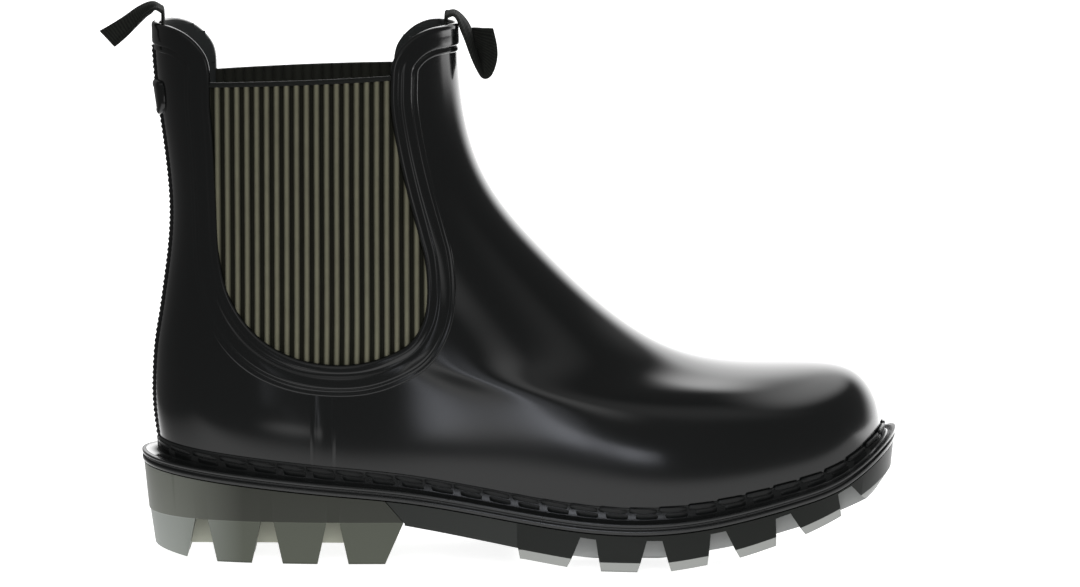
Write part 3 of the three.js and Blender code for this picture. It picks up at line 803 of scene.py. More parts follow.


# Knitted elastic: light crests and a fine knit along each rib, with painted shade that darkens the grooves
def elasticFinish():
    finish, nodes, links, shader = newFinish("elasticOlive", (0.1, 0.1, 0.07), 0.85, **dullness(0.25))
    ribs = mathNode(nodes, links, "DIVIDE", splitPlace(nodes, links, "UV")[0], gusset["ribPitch"] * mm)
    # Painted shade: this mask gives the grooves a near-black colour and the crests the light olive
    crest = rangeNode(nodes, links, mathNode(nodes, links, "PINGPONG", ribs, 0.5), 1, 0, 0.08, 0.33)
    grain = grainNode(nodes, 160, 1500)
    light = mixColours(nodes, links, grain.outputs["Cloud"], (0.105, 0.102, 0.07), (0.15, 0.145, 0.1))
    links.new(mixColours(nodes, links, crest, (0.007, 0.007, 0.0045), light), shader.inputs["Base Color"])
    bump(nodes, links, shader, grain.outputs["Grain"], 0.5, 0.0005)
    return finish


elasticOlive = elasticFinish()


# The opening's edge up to its foremost point, and from there back to the top
def gussetOutline():
    line = openingLine(12)
    line = line[(line[:, 1] < gussetTop + opening["dip"])]
    foremost = int(np.argmax(line[:, 0]))
    return line[:foremost + 1], line[foremost:][::-1]


def gussetLid(x):
    reach = opening["width"] * opening["rows"]["across"][-1]
    return gussetTop + opening["dip"] * np.clip((x - opening["back"]) / reach, 0, 1)


def gussetLimits(x):
    under, over = gussetOutline()
    rearmost, lowest = int(np.argmin(under[:, 0])), int(np.argmin(under[:, 1]))
    ahead, behind = x + gusset["tuckAcross"], x - gusset["tuckAcross"]
    down = np.interp(ahead, under[rearmost:lowest + 1, 0], under[rearmost:lowest + 1, 1])
    rise = np.interp(behind, under[lowest:, 0], under[lowest:, 1])
    low = np.where(x < under[lowest, 0], down, rise) - gusset["tuck"]
    high = np.minimum(gussetLid(x), np.interp(behind, over[:, 0], over[:, 1]) + gusset["tuck"])
    return low, np.maximum(high, low + 0.3)


# Height of the ribs' surface, from 0 in a groove to 1 on a crest
def ribWave(x):
    share = np.abs(((x - gusset["ribStart"]) / gusset["ribPitch"] + 0.5) % 1 - 0.5) * 2
    return np.sqrt(np.clip(1 - (share / gusset["crestShare"]) ** 2, 0, 1))


def makeGusset(side, name, node):
    under = gussetOutline()[0]
    left, right = under[:, 0].min() - gusset["tuckAcross"], under[-1, 0] + gusset["tuck"]
    piece = addSheet(name, gusset["columns"], gusset["rows"])

    def place(u, v, w):
        x = mix(left, right, u)
        low, high = gussetLimits(x)
        z = mix(low, high, v ** gusset["rowSpread"])
        height, turn = findFromSide(x, z, np.full(len(x), side))
        return skin(height, turn, -gusset["recess"] - gusset["ribDepth"] * (1 - ribWave(x)))

    layMap(piece, lambda u, v: (mix(left, right, u) - gusset["ribStart"], v * opening["height"]))
    shape(piece, place)
    weld(piece)
    outside = len(piece.data.polygons)
    thicken(piece, gusset["thickness"])
    finishPiece(smooth(piece, 60), (elasticOlive, elasticBackShaded), "gusset_elastic", node)
    # The inner faces take the near-black painted shade
    markFaces(piece, 1, np.arange(len(piece.data.polygons)) >= outside)
    return piece


def makeBinding(side, name):
    up, out = np.array(binding["up"]), np.array(binding["out"])
    piece = addSheet(name, len(up), binding["stations"])
    under, over = gussetOutline()
    left, right = under[0, 0] - gusset["tuck"] / 2, over[0, 0] + gusset["tuck"] / 2

    def place(u, v, w):
        corner = np.rint(u * len(up)).astype(int) % len(up)
        x = mix(left, right, v)
        z = gussetLid(x) - binding["height"] + up[corner]
        height, turn = findFromSide(x, z, np.full(len(x), side))
        return skin(height, turn, out[corner])

    shape(piece, place)
    closeTube(piece)
    return finishPiece(smooth(piece, 50), bindingBlack, "gusset_elastic")


# Back seam cord with its teeth, and the strip down each side seam
backCord = {
    "columns": 12,
    "rowsPerTooth": 8,
    "halfWidth": 2.2,
    "skirt": 0.5,
    "sink": 0.25,
    "raise": 0.95,
    "tooth": 0.45,
    "toothPitch": 2.05,
    "foot": 42.5,
    "top": 193,
}
seamStrip = {
    "middle": 34,
    "footLevel": 0.25,
    "belowGusset": 6,
    "across": [-5.2, -4.6, -4.15, -3.7, -3.2, -2.6, 2.6, 3.2, 3.7, 4.15, 4.6, 5.2],
    "raise": [-0.2, 0.06, 0.26, 0.06, -0.06, 0.1, 0.1, -0.06, 0.06, 0.26, 0.06, -0.2],
    "rows": 40,
}


def makeBackCord():
    long = backCord["top"] - backCord["foot"]
    rows = int(long / backCord["toothPitch"] * backCord["rowsPerTooth"])
    piece = addSheet("back_seam_cord", backCord["columns"], rows)

    def place(u, v, w):
        y = (u * 2 - 1) * (backCord["halfWidth"] + backCord["skirt"])
        z = mix(backCord["foot"], backCord["top"], v)
        height, turn = findFromBack(y, z)
        across = np.clip(np.abs(y) / backCord["halfWidth"], 0, 1)
        crown = np.sqrt(np.clip(1 - across ** 3, 0, 1))
        tooth = np.abs(((z / backCord["toothPitch"]) % 1) * 2 - 1)
        out = crown * (backCord["raise"] + backCord["tooth"] * tooth) - backCord["sink"] * (across >= 1)
        return skin(height, turn, out)

    layMap(piece, lambda u, v: (u * 2 * backCord["halfWidth"], v * long))
    shape(piece, place)
    weld(piece)
    thicken(piece, 0.8)
    return finishPiece(smooth(piece, 40), upperGloss, "upper_gloss")


def makeSeamStrip(side, name):
    across, rows = seamStrip["across"], seamStrip["rows"]
    piece = addSheet(name, len(across) - 1, rows)

    def place(u, v, w):
        column = np.rint(u * (len(across) - 1)).astype(int)
        x = seamStrip["middle"] + np.array(across)[column] * side
        foot = lastPoint(np.full(len(x), seamStrip["footLevel"]), turnOf(alongOf(x), side))[:, 2]
        z = mix(foot, gussetFoot - seamStrip["belowGusset"], v)
        height, turn = findFromSide(x, z, np.full(len(x), side))
        return skin(height, turn, np.array(seamStrip["raise"])[column])

    shape(piece, place)
    weld(piece)
    thicken(piece, 0.6)
    return finishPiece(smooth(piece, 30), upperGloss, "upper_gloss")


# Welt: seat, shelf and a lip of two ribs, with the storm bead's wall behind the stitches
welt = {
    "stations": 420,
    "height": 4.5,
    "beadTop": 0.34,
    "bead": {"below": [0, 0, 0.04], "out": [-0.3, 0.45, 0.85]},
    "foot": {"out": [1.5, 2.1], "drop": [-0.5, -0.02]},
    "lip": {
        "inset": [3.2, 1.9, 1.55, 1.2, 0.55, 0.12, 0, 0.05, 0.3, 0.75, 0.85, 0.85, 0.6, 0.25, 0.15, 0.25, 0.6,
                  1.3],
        "drop": [0.05, 0, -0.14, 0, 0.02, 0.2, 0.6, 1.05, 1.45, 1.7, 1.95, 2.25, 2.55, 2.75, 3.2, 3.9, 4.35,
                 4.5],
    },
}


def underSeat(points, drop):
    return atHeight(points, seatZ(points[..., 0]) - drop)


def beadRing(turns, below, out):
    count = len(turns)
    return skin(np.full(count, welt["beadTop"] - below), turns, np.full(count, out))


# Rings from the welt's inner edge over the bead and the lip to its underside, and the first ring again
def weltRings():
    count = welt["stations"]
    turns = np.arange(count) / count
    inner = soleEdge(turns, -last["wall"])
    bead, foot, lip = welt["bead"], welt["foot"], welt["lip"]
    rings = [
        underSeat(inner, welt["height"]),
        underSeat(inner, 0),
        *[beadRing(turns, below, out) for below, out in zip(bead["below"], bead["out"])],
        *[underSeat(soleEdge(turns, out), drop) for out, drop in zip(foot["out"], foot["drop"])],
        *[underSeat(lipEdge(turns, inset), drop) for inset, drop in zip(lip["inset"], lip["drop"])],
    ]
    return np.array([*rings, rings[0]])


def makeWelt():
    rings = weltRings()
    sections, count = len(rings) - 1, welt["stations"]
    piece = addSheet("welt_ring", count, sections)

    def place(u, v, w):
        return rings[np.rint(v * sections).astype(int), np.rint(u * count).astype(int) % count]

    shape(piece, place)
    weld(piece)
    return finishPiece(smooth(piece, 42), weltBlack, "welt_black", "welt")


# Moulded stitches on the storm bead: two rows of long rounded blocks, the lower one set back a little
stitches = {
    "pitch": 11.1,
    "trackOut": 1.2,
    "footOut": 0.6,
    "faceOut": 0.75,
    "beadRise": 5.2,
    "round": 0.28,
    "upperRow": {"length": 9.8, "deep": 1.0, "tall": 1.7, "raise": 3.95, "tilt": 0.04, "start": 0.0},
    "lowerRow": {"length": 8.2, "deep": 1.35, "tall": 2.1, "raise": 1.75, "tilt": 0.03, "start": -0.12},
}


def beadTrack(count=900):
    turns = np.arange(count + 1) / count
    line = soleEdge(turns, stitches["trackOut"])
    length = np.concatenate([[0], np.cumsum(np.linalg.norm(np.diff(line, axis=0), axis=1))])
    return turns, length


def makeStitches(name, row):
    turns, length = beadTrack()
    count = int(round(length[-1] / stitches["pitch"]))
    pitch = length[-1] / count
    bpy.ops.object.select_all(action="DESELECT")
    bpy.ops.mesh.primitive_cube_add(size=1)
    piece = named(bpy.context.object, name)
    editAll(
        piece,
        (bpy.ops.mesh.subdivide, {"number_cuts": 3, "smoothness": 0}),
        (bpy.ops.transform.tosphere, {"value": stitches["round"]}),
    )
    modify(piece, "ARRAY", count=count, use_relative_offset=False, use_constant_offset=True,
           constant_offset_displace=(2, 0, 0))

    def place(x, y, z):
        number = np.rint(x / 2)
        along = (x - number * 2) * row["length"]
        run = (number + row["start"]) * pitch + along
        turn = np.interp(run % length[-1], length, turns)
        up = row["raise"] + z * row["tall"] + row["tilt"] * along
        base = seatZ(soleEdge(turn, stitches["footOut"])[:, 0])
        heightAt = welt["beadTop"] * np.clip(up / stitches["beadRise"], 0, 1.1)
        face = skin(heightAt, turn, stitches["faceOut"] + y * row["deep"])
        return atHeight(face, base + up)

    shape(piece, place)
    weld(piece, 0.0004)
    return finishPiece(smooth(piece, 50), stitchBlack, "welt_black")


# Sole: side insets by height, lugs and channels
sole = {
    "columns": 150,
    "sideInset": 0.8,
    "gap": 0.3,
    "breast": 57.4,
    "breastBulge": 7,
    "lugLine": 16.4,
    "heelTaper": 4.6,
    "lugTaper": 2.3,
    "heelChannels": [-11.9, 13, 37.8],
    "heelChannel": (2.4, 0.21),
    "heelWeb": 8,
    "webRecess": 3.5,
    "strikeRise": 2.5,
    "strikeLength": 16,
    "shankBack": 15.6,
    "shankFront": 8.4,
    "forefootStart": 107.4,
    "forefootLean": 0.16,
    "chamfer": 4.3,
    "chamferRun": 5.1,
    "channelStart": 132.2,
    "channelPitch": 26.3,
    "channelCount": 5,
    "channelTop": 2.9,
    "channelFlare": 0.27,
    "platePlus": 1.8,
    "centralRow": 18,
    "edgeRound": 0.45,
}


# Reach of the cutting prisms, past the ends and past the sides
far = 300
past = 90


def plateTop(x):
    return seatZ(x) - welt["height"] - sole["gap"]


# Block over the sole's plan: each layer has an inset from the lip's edge and a height
def soleBlock(name, layers, start, end):
    piece = addBlock(name, sole["columns"], 12, len(layers) - 1)

    def place(u, v, w):
        angle = mix(start, end, u)
        along = (1 - np.cos(angle)) / 2
        layer = np.rint(w).astype(int)
        inset = np.array([one[0] for one in layers])[layer]
        turn = angle / (2 * pi)
        inner, outer = lipEdge(turn, inset), lipEdge(1 - turn, inset)
        points = inner + (outer - inner) * (1 - v)[:, None]
        heights = np.stack([one[1](points[:, 0]) for one in layers])
        return atHeight(points, heights[layer, np.arange(len(layer))])

    shape(piece, place)
    return weld(piece, 0.02)


# Prism of a side view outline, between two values of y
def addPrism(name, outline, low, high):
    bpy.ops.object.select_all(action="DESELECT")
    bpy.ops.mesh.primitive_circle_add(vertices=len(outline), fill_type="NGON")
    piece = named(bpy.context.object, name)
    writePoints(piece, np.array([[x, low, z] for x, z in outline]) * mm)
    return editAll(
        piece,
        (bpy.ops.mesh.extrude_region_move, {"TRANSFORM_OT_translate": {"value": (0, (high - low) * mm, 0)}}),
        (bpy.ops.mesh.select_all, {"action": "SELECT"}),
        (bpy.ops.mesh.normals_make_consistent, {"inside": False}),
    )


def carve(piece, tool, operation="DIFFERENCE"):
    modify(piece, "BOOLEAN", object=tool, operation=operation, solver="EXACT")
    bpy.data.objects.remove(tool, do_unlink=True)
    return piece


def channelOutline(x, ceiling, floor, slope, half=sole["channelTop"], flare=sole["channelFlare"]):
    below = 6
    rise = ceiling - floor
    wide = half + flare * (rise + below)
    corners = [(-wide, -below), (wide, -below), (half, rise), (-half, rise)]
    turned = [(a * cos(slope) - b * sin(slope), a * sin(slope) + b * cos(slope)) for a, b in corners]
    return [(x + a, floor + b) for a, b in turned]


def markFaces(piece, number, chosen):
    slots = np.empty(len(piece.data.polygons), np.int32)
    piece.data.polygons.foreach_get("material_index", slots)
    slots[chosen] = number
    piece.data.polygons.foreach_set("material_index", slots)


def faceNormals(piece):
    normals = np.empty(len(piece.data.polygons) * 3)
    piece.data.polygons.foreach_get("normal", normals)
    return normals.reshape(-1, 3)


def roundEdges(piece, width):
    modify(piece, "BEVEL", width=width * mm, segments=2, limit_method="ANGLE", angle_limit=radians(24),
           use_clamp_overlap=True, harden_normals=False, miter_outer="MITER_SHARP")
    return weld(piece, 0.001)


def makeOutsole():
    taper = sole["chamferRun"] - sole["chamfer"]
    layers = [
        (sole["sideInset"] + sole["chamferRun"], treadZ),
        (sole["sideInset"] + taper, lambda x: treadZ(x) + sole["chamfer"]),
        (sole["sideInset"], plateTop),
    ]
    piece = soleBlock("outsole_lugs", layers, 1.05, pi)
    gap = sole["breast"] + 0.4
    below = sole["chamfer"]
    outline = [
        (gap, far), (gap, float(plateTop(sole["breast"]))), (gap + sole["breastBulge"], sole["lugLine"]),
        (gap + sole["breastBulge"], sole["shankBack"]), (sole["forefootStart"], sole["shankFront"]),
        (sole["forefootStart"] + sole["forefootLean"] * (sole["shankFront"] + below), -below),
        (far, -below), (far, far),
    ]
    carve(piece, addPrism("tool", outline, -past, past), "INTERSECT")
    x = sole["channelStart"]
    span = sole["channelTop"]
    for _ in range(sole["channelCount"]):
        slope = float(np.arctan((treadZ(x + span) - treadZ(x - span)) / (2 * span)))
        outlineHere = channelOutline(x, float(plateTop(x)) - sole["platePlus"], float(treadZ(x)), slope)
        middle = float(swingAt(alongOf(x)))
        carve(piece, addPrism("tool", outlineHere, -past, middle - sole["centralRow"]))
        carve(piece, addPrism("tool", outlineHere, middle + sole["centralRow"], past))
        lean = float(np.arctan((treadZ(x + sole["channelPitch"]) - treadZ(x)) / sole["channelPitch"]))
        x += sole["channelPitch"] * cos(lean)
    roundEdges(piece, sole["edgeRound"])
    centres, normals = faceCentres(piece), faceNormals(piece)
    # Down-facing bevel faces near the tread are marked for the pale painted light
    glowBevelFaces = (normals[:, 2] < -0.35) & (centres[:, 2] < treadZ(centres[:, 0]) + sole["chamfer"] + 0.2)
    inner = np.abs(centres[:, 1] - swingAt(alongOf(centres[:, 0]))) < sole["centralRow"] + 2
    # Web faces across the channels, between the central rows, are marked for that painted light
    glowWebFaces = inner & (np.abs(normals[:, 1]) > 0.9)
    finishPiece(smooth(piece, 32), (outsoleBlack, paintedBevelGlow, paintedWebGlow, shankBlack), "outsole_black", "outsole")
    markFaces(piece, 3, centres[:, 0] < sole["forefootStart"])
    markFaces(piece, 1, glowBevelFaces)
    markFaces(piece, 2, glowWebFaces)
    return piece


def makeHeel():
    layers = [
        (sole["sideInset"] + sole["heelTaper"], lambda x: 0 * x),
        (sole["sideInset"] + sole["lugTaper"], lambda x: 0 * x + sole["lugLine"] - 0.5),
        (sole["sideInset"] + sole["lugTaper"] - 0.5, lambda x: 0 * x + sole["lugLine"]),
        (sole["sideInset"], plateTop),
    ]
    piece = soleBlock("heel_block", layers, 0, 1.35)
    start = sole["strikeLength"] - last["heelToOrigin"]
    outline = [
        (-far, (start + far) * sole["strikeRise"] / sole["strikeLength"]), (start, 0), (start, -9),
        (sole["breast"], -9), (sole["breast"], 0), (sole["breast"] + sole["breastBulge"], sole["lugLine"]),
        (sole["breast"], float(plateTop(sole["breast"]))), (sole["breast"], far), (-far, far),
    ]
    carve(piece, addPrism("tool", outline, -past, past), "INTERSECT")
    top, flare = sole["heelChannel"]
    wide = top + flare * (sole["lugLine"] - sole["webRecess"]) - 0.15
    for x in sole["heelChannels"]:
        slot = channelOutline(x, sole["lugLine"], 0, 0, top, flare)
        carve(piece, addPrism("tool", slot, -past, -sole["heelWeb"]))
        carve(piece, addPrism("tool", slot, sole["heelWeb"], past))
        carve(piece, addPrism("tool", channelOutline(x, sole["webRecess"], 0, 0, wide, flare), -past, past))
    roundEdges(piece, sole["edgeRound"])
    centres, normals = faceCentres(piece), faceNormals(piece)
    finishPiece(smooth(piece, 30), (heelOlive, heelLugGlow, heelWeb), "heel_olive", "heel")
    # Lugs below the lug line get the paler painted light
    markFaces(piece, 1, centres[:, 2] < sole["lugLine"] - 0.2)
    # Web faces in the heel's channels get the palest painted light
    markFaces(piece, 2, (np.abs(normals[:, 1]) > 0.9) & (np.abs(centres[:, 1]) < sole["heelWeb"] + 0.6))
    return piece


# Footbed: lies on the sole inside the welt, a little dished under the heel and the ball
footbed = {
    "columns": 90,
    "rows": 24,
    "rise": 2,
    "inset": 3.1,
    "dish": 0.8,
    "cover": 0.6,
    "coverNarrower": 0.012,
}


def makeFootbed():
    piece = addBlock("footbed", footbed["columns"], footbed["rows"], 2)

    def place(u, v, w):
        angle = mix(0, pi, u)
        turn = angle / (2 * pi)
        inset = np.full(len(u), -footbed["inset"])
        inner, outer = soleEdge(turn, inset), soleEdge(1 - turn, inset)
        points = inner + (outer - inner) * (1 - v)[:, None]
        crown = (2 * v - 1) ** 2
        top = footbed["rise"] + footbed["dish"] * (crown - 0.6)
        rise = np.select([w < 0.5, w < 1.5], [0 * u - welt["height"], top - footbed["cover"]], top)
        edge = np.where(w > 1.5, 1 - footbed["coverNarrower"], 1)
        middle = (inner + outer) / 2
        points = middle + (points - middle) * edge[:, None]
        return atHeight(points, seatZ(points[:, 0]) + rise)

    shape(piece, place)
    weld(piece, 0.02)
    return finishPiece(smooth(piece, 50), footbedGrey, "lining_grey", "insole")


# Pull loops: webbing tape over the collar's edge. Rows run along the tape from inside the collar to its end,
# and give the tape's near and far edge.
backLoop = {
    "near": {
        "x": [-26.9, -26.8, -27.4, -29.3, -31.4, -33.6, -35.9, -39.0, -42.2, -45.2],
        "y": [-6.5, -6.5, -6.3, -6, -6, -5.8, -5.5, -5, -4.6, -4.3],
        "z": [187, 202.8, 205.6, 206.7, 206.1, 204.4, 201.7, 198.0, 194.8, 192.3],
    },
    "far": {
        "x": [-27.7, -27.7, -28.4, -30.5, -32.9, -35.4, -38.2, -42.3, -47.4, -51.6],
        "y": [6.5, 6.5, 6.5, 6.5, 6.3, 6, 5.5, 5, 4.5, 4.2],
        "z": [187, 203.7, 206.9, 208.1, 208.2, 207.3, 205.8, 203.0, 199.8, 197.4],
    },
    "ridge": {"at": -0.42, "raise": 1.3, "start": 0.3},
}
frontLoop = {
    "near": {
        "x": [79.4, 79.4, 80.2, 82.0, 83.7, 84.9, 86.6, 88.4, 90.5, 92.6, 94.2, 96.4, 98.1, 98.8, 98.4, 97.1],
        "y": [-6.5, -6.5, -6.3, -6.2, -6, -6, -5.8, -5.5, -5, -4.5, -4, -3.4, -3, -2.6, -2.2, -2],
        "z": [187, 201.8, 204.4, 205.0, 203.3, 199.9, 195.7, 190.8, 185.8, 182.0, 180.8, 181.9, 185.6, 189.7,
              194.2, 199.7],
    },
    "far": {
        "x": [79.2, 79.2, 79.9, 82.0, 84.5, 86.8, 88.5, 89.3, 90.0, 90.8, 91.5, 91.2, 90.5, 89.8, 89.2, 88.8],
        "y": [6.5, 6.5, 6.5, 6.5, 6.2, 6, 5.8, 5.6, 5.3, 5.2, 5.4, 6, 6.6, 7.2, 7.6, 8],
        "z": [187, 203.1, 205.4, 205.7, 204.5, 202.2, 199.2, 196.0, 192.2, 188.8, 186.9, 188.4, 191.0, 193.9,
              196.6, 199.0],
    },
    "ridge": {"at": 0, "raise": 0.35, "start": 0.2},
}
tape = {
    "width": 13,
    "deep": 1.3,
    "edge": 0.06,
    "fineness": 8,
    "columns": 16,
    "ridgeWidth": 0.3,
    "ridgeGrowth": 6,
}


def makeLoop(name, loop, node):
    count = len(loop["near"]["x"])
    steps = (count - 1) * tape["fineness"]
    places = np.linspace(0, count - 1, steps + 1)
    near, far = (np.stack([spline(range(count), loop[edge][axis])(places) for axis in "xyz"], -1)
                 for edge in ("near", "far"))
    across = np.linspace(-1, 1, tape["columns"] + 1)
    flat = tape["deep"] / 2 * np.sqrt(1 - np.abs(across) ** 6) + tape["edge"]
    ridge = loop["ridge"]
    crown = np.exp(-((across - ridge["at"]) / tape["ridgeWidth"]) ** 2) * ridge["raise"]
    ring = np.array([*zip(across, flat, crown), *zip(across[::-1], -flat[::-1], crown[::-1])])
    ring = np.array([*ring, ring[0]])
    piece = addSheet(name, len(ring) - 1, steps)
    middle = (near + far) / 2
    half = (far - near) / 2
    thick = unit(np.cross(unit(np.gradient(middle, axis=0)), half))
    length = np.concatenate([[0], np.cumsum(np.linalg.norm(np.diff(middle, axis=0), axis=1))])
    grown = np.clip((places / (count - 1) - ridge["start"]) * tape["ridgeGrowth"], 0, 1)

    def place(u, v, w):
        row = np.rint(v * steps).astype(int)
        a, b, c = ring[np.rint(u * (len(ring) - 1)).astype(int)].T
        out = b + c * grown[row]
        return middle[row] + half[row] * a[:, None] + thick[row] * out[:, None]

    layMap(piece, lambda u, v: (u * 2 * tape["width"], v * length[-1]))
    shape(piece, place)
    closeTube(piece)
    return finishPiece(smooth(piece, 50), webbingBlack, "webbing_black", node)


# Plain pad on the back seam: a domed tongue, broad at the top and rounded below
badge = {
    "middle": 173.4,
    "halfHeight": 6.9,
    "raise": 2.1,
    "roundShare": 0.3,
    "rim": {"deep": 0.22, "start": 0.66, "run": 0.07},
    "up": [-1, -0.92, -0.75, -0.45, 0, 0.4, 0.75, 0.92, 1],
    "half": [2.5, 5, 7.4, 9.3, 10.5, 11, 10.6, 9.4, 7.6],
}


def makeBadge():
    piece = addSheet("back_badge_pad", 48, 40)
    half, rim = spline(badge["up"], badge["half"]), badge["rim"]

    def place(u, v, w):
        a, b = u * 2 - 1, v * 2 - 1
        y = a * half(b)
        z = badge["middle"] + b * badge["halfHeight"]
        height, turn = findFromBack(y, z)
        edge = np.maximum(np.abs(a), np.abs(b))
        fall = 1 - np.clip((1 - edge) / badge["roundShare"], 0, 1)
        dome = badge["raise"] * np.sqrt(np.clip(1 - fall ** 2.2, 0, 1))
        sunk = rim["deep"] * np.clip((rim["start"] - edge) / rim["run"], 0, 1)
        return skin(height, turn, dome - sunk + 0.02)

    shape(piece, place)
    weld(piece)
    thicken(piece, 0.4)
    return finishPiece(smooth(piece, 40), upperGloss, "upper_gloss", "back_badge")


makeUpper()
makeLining()
makeCollarFrame()
print("upper done")
makeGusset(-1, "gusset_ribs_outer", "gusset_outer")
makeGusset(1, "gusset_ribs_inner", "gusset_inner")
makeBinding(-1, "gusset_binding_outer")
makeBinding(1, "gusset_binding_inner")
makeBackCord()
makeSeamStrip(-1, "seam_strip_outer")
makeSeamStrip(1, "seam_strip_inner")
makeBadge()
print("trim done")
makeWelt()
makeStitches("storm_stitch_upper", stitches["upperRow"])
makeStitches("storm_stitch_lower", stitches["lowerRow"])
makeOutsole()
makeHeel()
makeFootbed()
print("sole done")
makeLoop("pull_loop_back_webbing", backLoop, "pull_loop_back")
makeLoop("pull_loop_front_webbing", frontLoop, "pull_loop_front")
print("loops done")


# Floor, light and camera
# Pale floor that glows like a light table: white to the eye, bright close to the boot and behind it
studio = {
    "floorSeen": 0.85,
    "table": 1.0,
    "tableEdge": (0.13, 0.19),
    "tableLeft": (-0.24, -0.06),
    "behindTable": 2.6,
    "front": 0.14,
    "panel": 3.4,
    "overhead": 0.3,
    "stripFront": 0.3,
    "stripTint": (0.88, 0.91, 1),
}


# One value for what the eye sees and another for what lights the boot
def chooseSeen(nodes, links, glow, seen):
    path = nodes.new("ShaderNodeLightPath")
    eye = path.outputs["Is Camera Ray"]
    unseen = mathNode(nodes, links, "MULTIPLY", mathNode(nodes, links, "SUBTRACT", 1, eye), glow)
    return mathNode(nodes, links, "ADD", unseen, mathNode(nodes, links, "MULTIPLY", eye, seen))


def addFloor():
    bpy.ops.object.select_all(action="DESELECT")
    bpy.ops.mesh.primitive_plane_add(size=12, location=(0, 0, -0.0004))
    floor = named(bpy.context.object, "studio_floor")
    finish, nodes, links, shader = newFinish("paleFloor", (0.8, 0.8, 0.8), 0.7)
    shader.inputs["Specular IOR Level"].default_value = 0
    links.new(chooseSeen(nodes, links, 0, 0.8), shader.inputs["Base Color"])
    x, y, z = splitPlace(nodes, links, "Object")
    inner, outer = studio["tableEdge"]
    beside = easeNode(nodes, links, x, *studio["tableLeft"])
    table = easeNode(nodes, links, y, -outer, -inner, 0, studio["table"])
    table = mathNode(nodes, links, "MULTIPLY", table, beside)
    front = mathNode(nodes, links, "ADD", table, studio["front"])
    side = easeNode(nodes, links, x, -0.2, 0.05)
    behind = easeNode(nodes, links, y, 0, 0.2, 0, studio["behindTable"])
    behind = mathNode(nodes, links, "MULTIPLY", behind, side)
    glow = mathNode(nodes, links, "ADD", front, behind)
    apart = mathNode(nodes, links, "ABSOLUTE", mathNode(nodes, links, "ADD", y, -0.02))
    seen = easeNode(nodes, links, apart, 0.1, 0.4, studio["floorSeen"], 1.05)
    shader.inputs["Emission Color"].default_value = (1, 1, 1, 1)
    links.new(chooseSeen(nodes, links, glow, seen), shader.inputs["Emission Strength"])
    floor.data.materials.append(finish)


# Softbox whose glow is the same at any size
def addSoftbox(name, place, target, size, glow, colour=(1, 1, 1), shine=True, spread=True):
    light = bpy.data.lights.new(name, "AREA")
    light.shape = "RECTANGLE"
    light.size, light.size_y = size
    light.energy = glow * pi * size[0] * size[1]
    light.color = colour
    lamp = bpy.data.objects.new(name, light)
    bpy.context.scene.collection.objects.link(lamp)
    lamp.location = place
    lamp.rotation_euler = (Vector(target) - Vector(place)).to_track_quat("-Z", "Y").to_euler()
    lamp.visible_camera = False
    lamp.visible_glossy = shine
    lamp.visible_diffuse = spread
    return lamp


# Upright strip in front of the boot, that lights only what it is turned to
def addStrip(name, reach, turn, spread, glow, rise=(0.002, 0.034)):
    place = Vector(((reach[0] + reach[1]) / 2, -studio["stripFront"], (rise[0] + rise[1]) / 2))
    target = place + Vector((sin(radians(turn)), cos(radians(turn)), 0))
    size = (reach[1] - reach[0], rise[1] - rise[0])
    narrow = radians(spread / 2) ** 2 / 3
    strip = addSoftbox(name, place, target, size, glow * narrow, studio["stripTint"], spread=False)
    strip.data.spread = radians(spread)


# Panel that glows in the middle and fades to nothing at its edges
def addGlowPanel(name, place, target, size, glow):
    bpy.ops.object.select_all(action="DESELECT")
    bpy.ops.mesh.primitive_plane_add(size=1, location=place)
    panel = named(bpy.context.object, name)
    panel.rotation_euler = (Vector(target) - Vector(place)).to_track_quat("-Z", "Y").to_euler()
    panel.scale = (size[0], size[1], 1)
    finish, nodes, links, shader = newFinish(name, (0, 0, 0), 1)
    shader.inputs["Specular IOR Level"].default_value = 0
    shader.inputs["Emission Color"].default_value = (1, 1, 1, 1)
    shader.inputs["Emission Strength"].default_value = glow
    x, y, z = splitPlace(nodes, links, "Object")
    squares = [mathNode(nodes, links, "MULTIPLY", way, way) for way in (x, y)]
    apart = mathNode(nodes, links, "SQRT", mathNode(nodes, links, "ADD", *squares))
    links.new(easeNode(nodes, links, apart, 0.08, 0.5, 1, 0), shader.inputs["Alpha"])
    panel.data.materials.append(finish)
    panel.visible_camera = False
    panel.visible_shadow = False


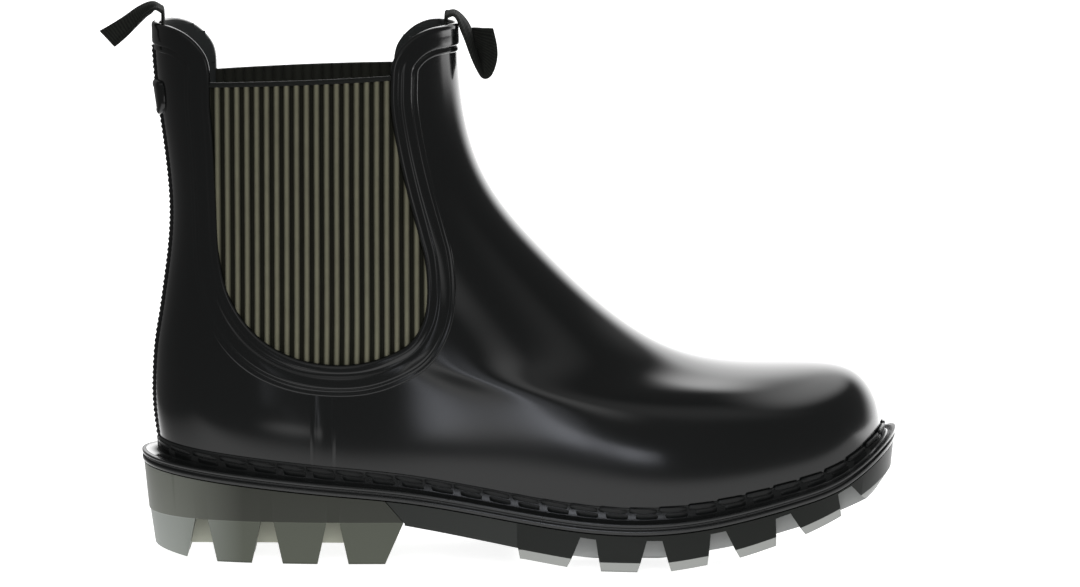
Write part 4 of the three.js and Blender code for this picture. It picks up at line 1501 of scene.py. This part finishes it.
# Pale surround: a bright panel low behind the boot, dim overhead and on the side of the camera
def addSurround():
    world = bpy.data.worlds.new("studioSurround")
    bpy.context.scene.world = world
    world.use_nodes = True
    nodes, links = world.node_tree.nodes, world.node_tree.links
    background = nodes["Background"]
    background.inputs["Color"].default_value = (1, 1, 1, 1)
    x, y, z = splitPlace(nodes, links, "Generated")
    bearing = mathNode(nodes, links, "ARCTAN2", x, y)
    rising = mathNode(nodes, links, "ADD", bearing, mathNode(nodes, links, "MULTIPLY", z, radians(22)))
    left = easeNode(nodes, links, rising, radians(-9), radians(8))
    leaning = mathNode(nodes, links, "ADD", bearing, mathNode(nodes, links, "MULTIPLY", z, radians(40)))
    right = easeNode(nodes, links, leaning, radians(44), radians(76), 1, 0)
    low = easeNode(nodes, links, z, 0.66, 0.95, studio["panel"], 0)
    panel = mathNode(nodes, links, "MULTIPLY", mathNode(nodes, links, "MULTIPLY", left, right), low)
    above = easeNode(nodes, links, y, -0.65, -0.2, studio["overhead"], 0)
    above = mathNode(nodes, links, "MULTIPLY", above, easeNode(nodes, links, z, 0.4, 0.7))
    above = mathNode(nodes, links, "ADD", above, studio["front"])
    glow = mathNode(nodes, links, "ADD", panel, above)
    links.new(chooseSeen(nodes, links, glow, 1), background.inputs["Strength"])


def addCamera():
    sight = {"lens": 191.67, "distance": 2181, "elevation": 8.7, "roll": 0.28, "target": (115.2, 0, 98.6)}
    camera = bpy.data.cameras.new("photoView")
    camera.lens = sight["lens"]
    camera.sensor_width = 36
    camera.clip_start, camera.clip_end = 0.1, 30
    rise, roll = radians(sight["elevation"]), radians(sight["roll"])
    back = Vector((0, -cos(rise), sin(rise)))
    right, up = Vector((1, 0, 0)), Vector((0, sin(rise), cos(rise)))
    across = right * cos(roll) + up * sin(roll)
    upright = up * cos(roll) - right * sin(roll)
    place = (Vector(sight["target"]) + back * sight["distance"]) * mm
    holder = bpy.data.objects.new("photoView", camera)
    bpy.context.scene.collection.objects.link(holder)
    holder.matrix_world = Matrix.Translation(place) @ Matrix((across, upright, back)).transposed().to_4x4()
    bpy.context.scene.camera = holder


addFloor()
addSurround()
addSoftbox("fillBox", (0.1, -1.6, 0.9), (0.1, 0, 0.1), (1.6, 1.2), 4, shine=False)
addSoftbox("tableBox", (0.11, 0, 0.0003), (0.11, 0, 1), (0.44, 0.24), 0.8, shine=False)
addGlowPanel("toePanel", (0.275, 0.02, 0.155), (0.275, 0.02, 0), (0.17, 0.26), 2.6)
addStrip("stripLeft", (-0.032, 0.085), 22, 28, 8.5)
addStrip("stripRight", (0.08, 0.185), 5, 30, 5.5)
addStrip("stripHigh", (-0.06, 0.07), 24, 27, 1.5, (0.034, 0.13))
addGlowPanel("instepPanel", (0.1, -0.3, 0.21), (0.1, 0, 0.21), (0.2, 0.22), 1.1)
addGlowPanel("lowPanel", (-0.015, -0.25, 0.004), (-0.015, -0.25, 1), (0.1, 0.13), 1.5)
addCamera()
bpy.context.scene.view_settings.view_transform = "Standard"
print("studio done")
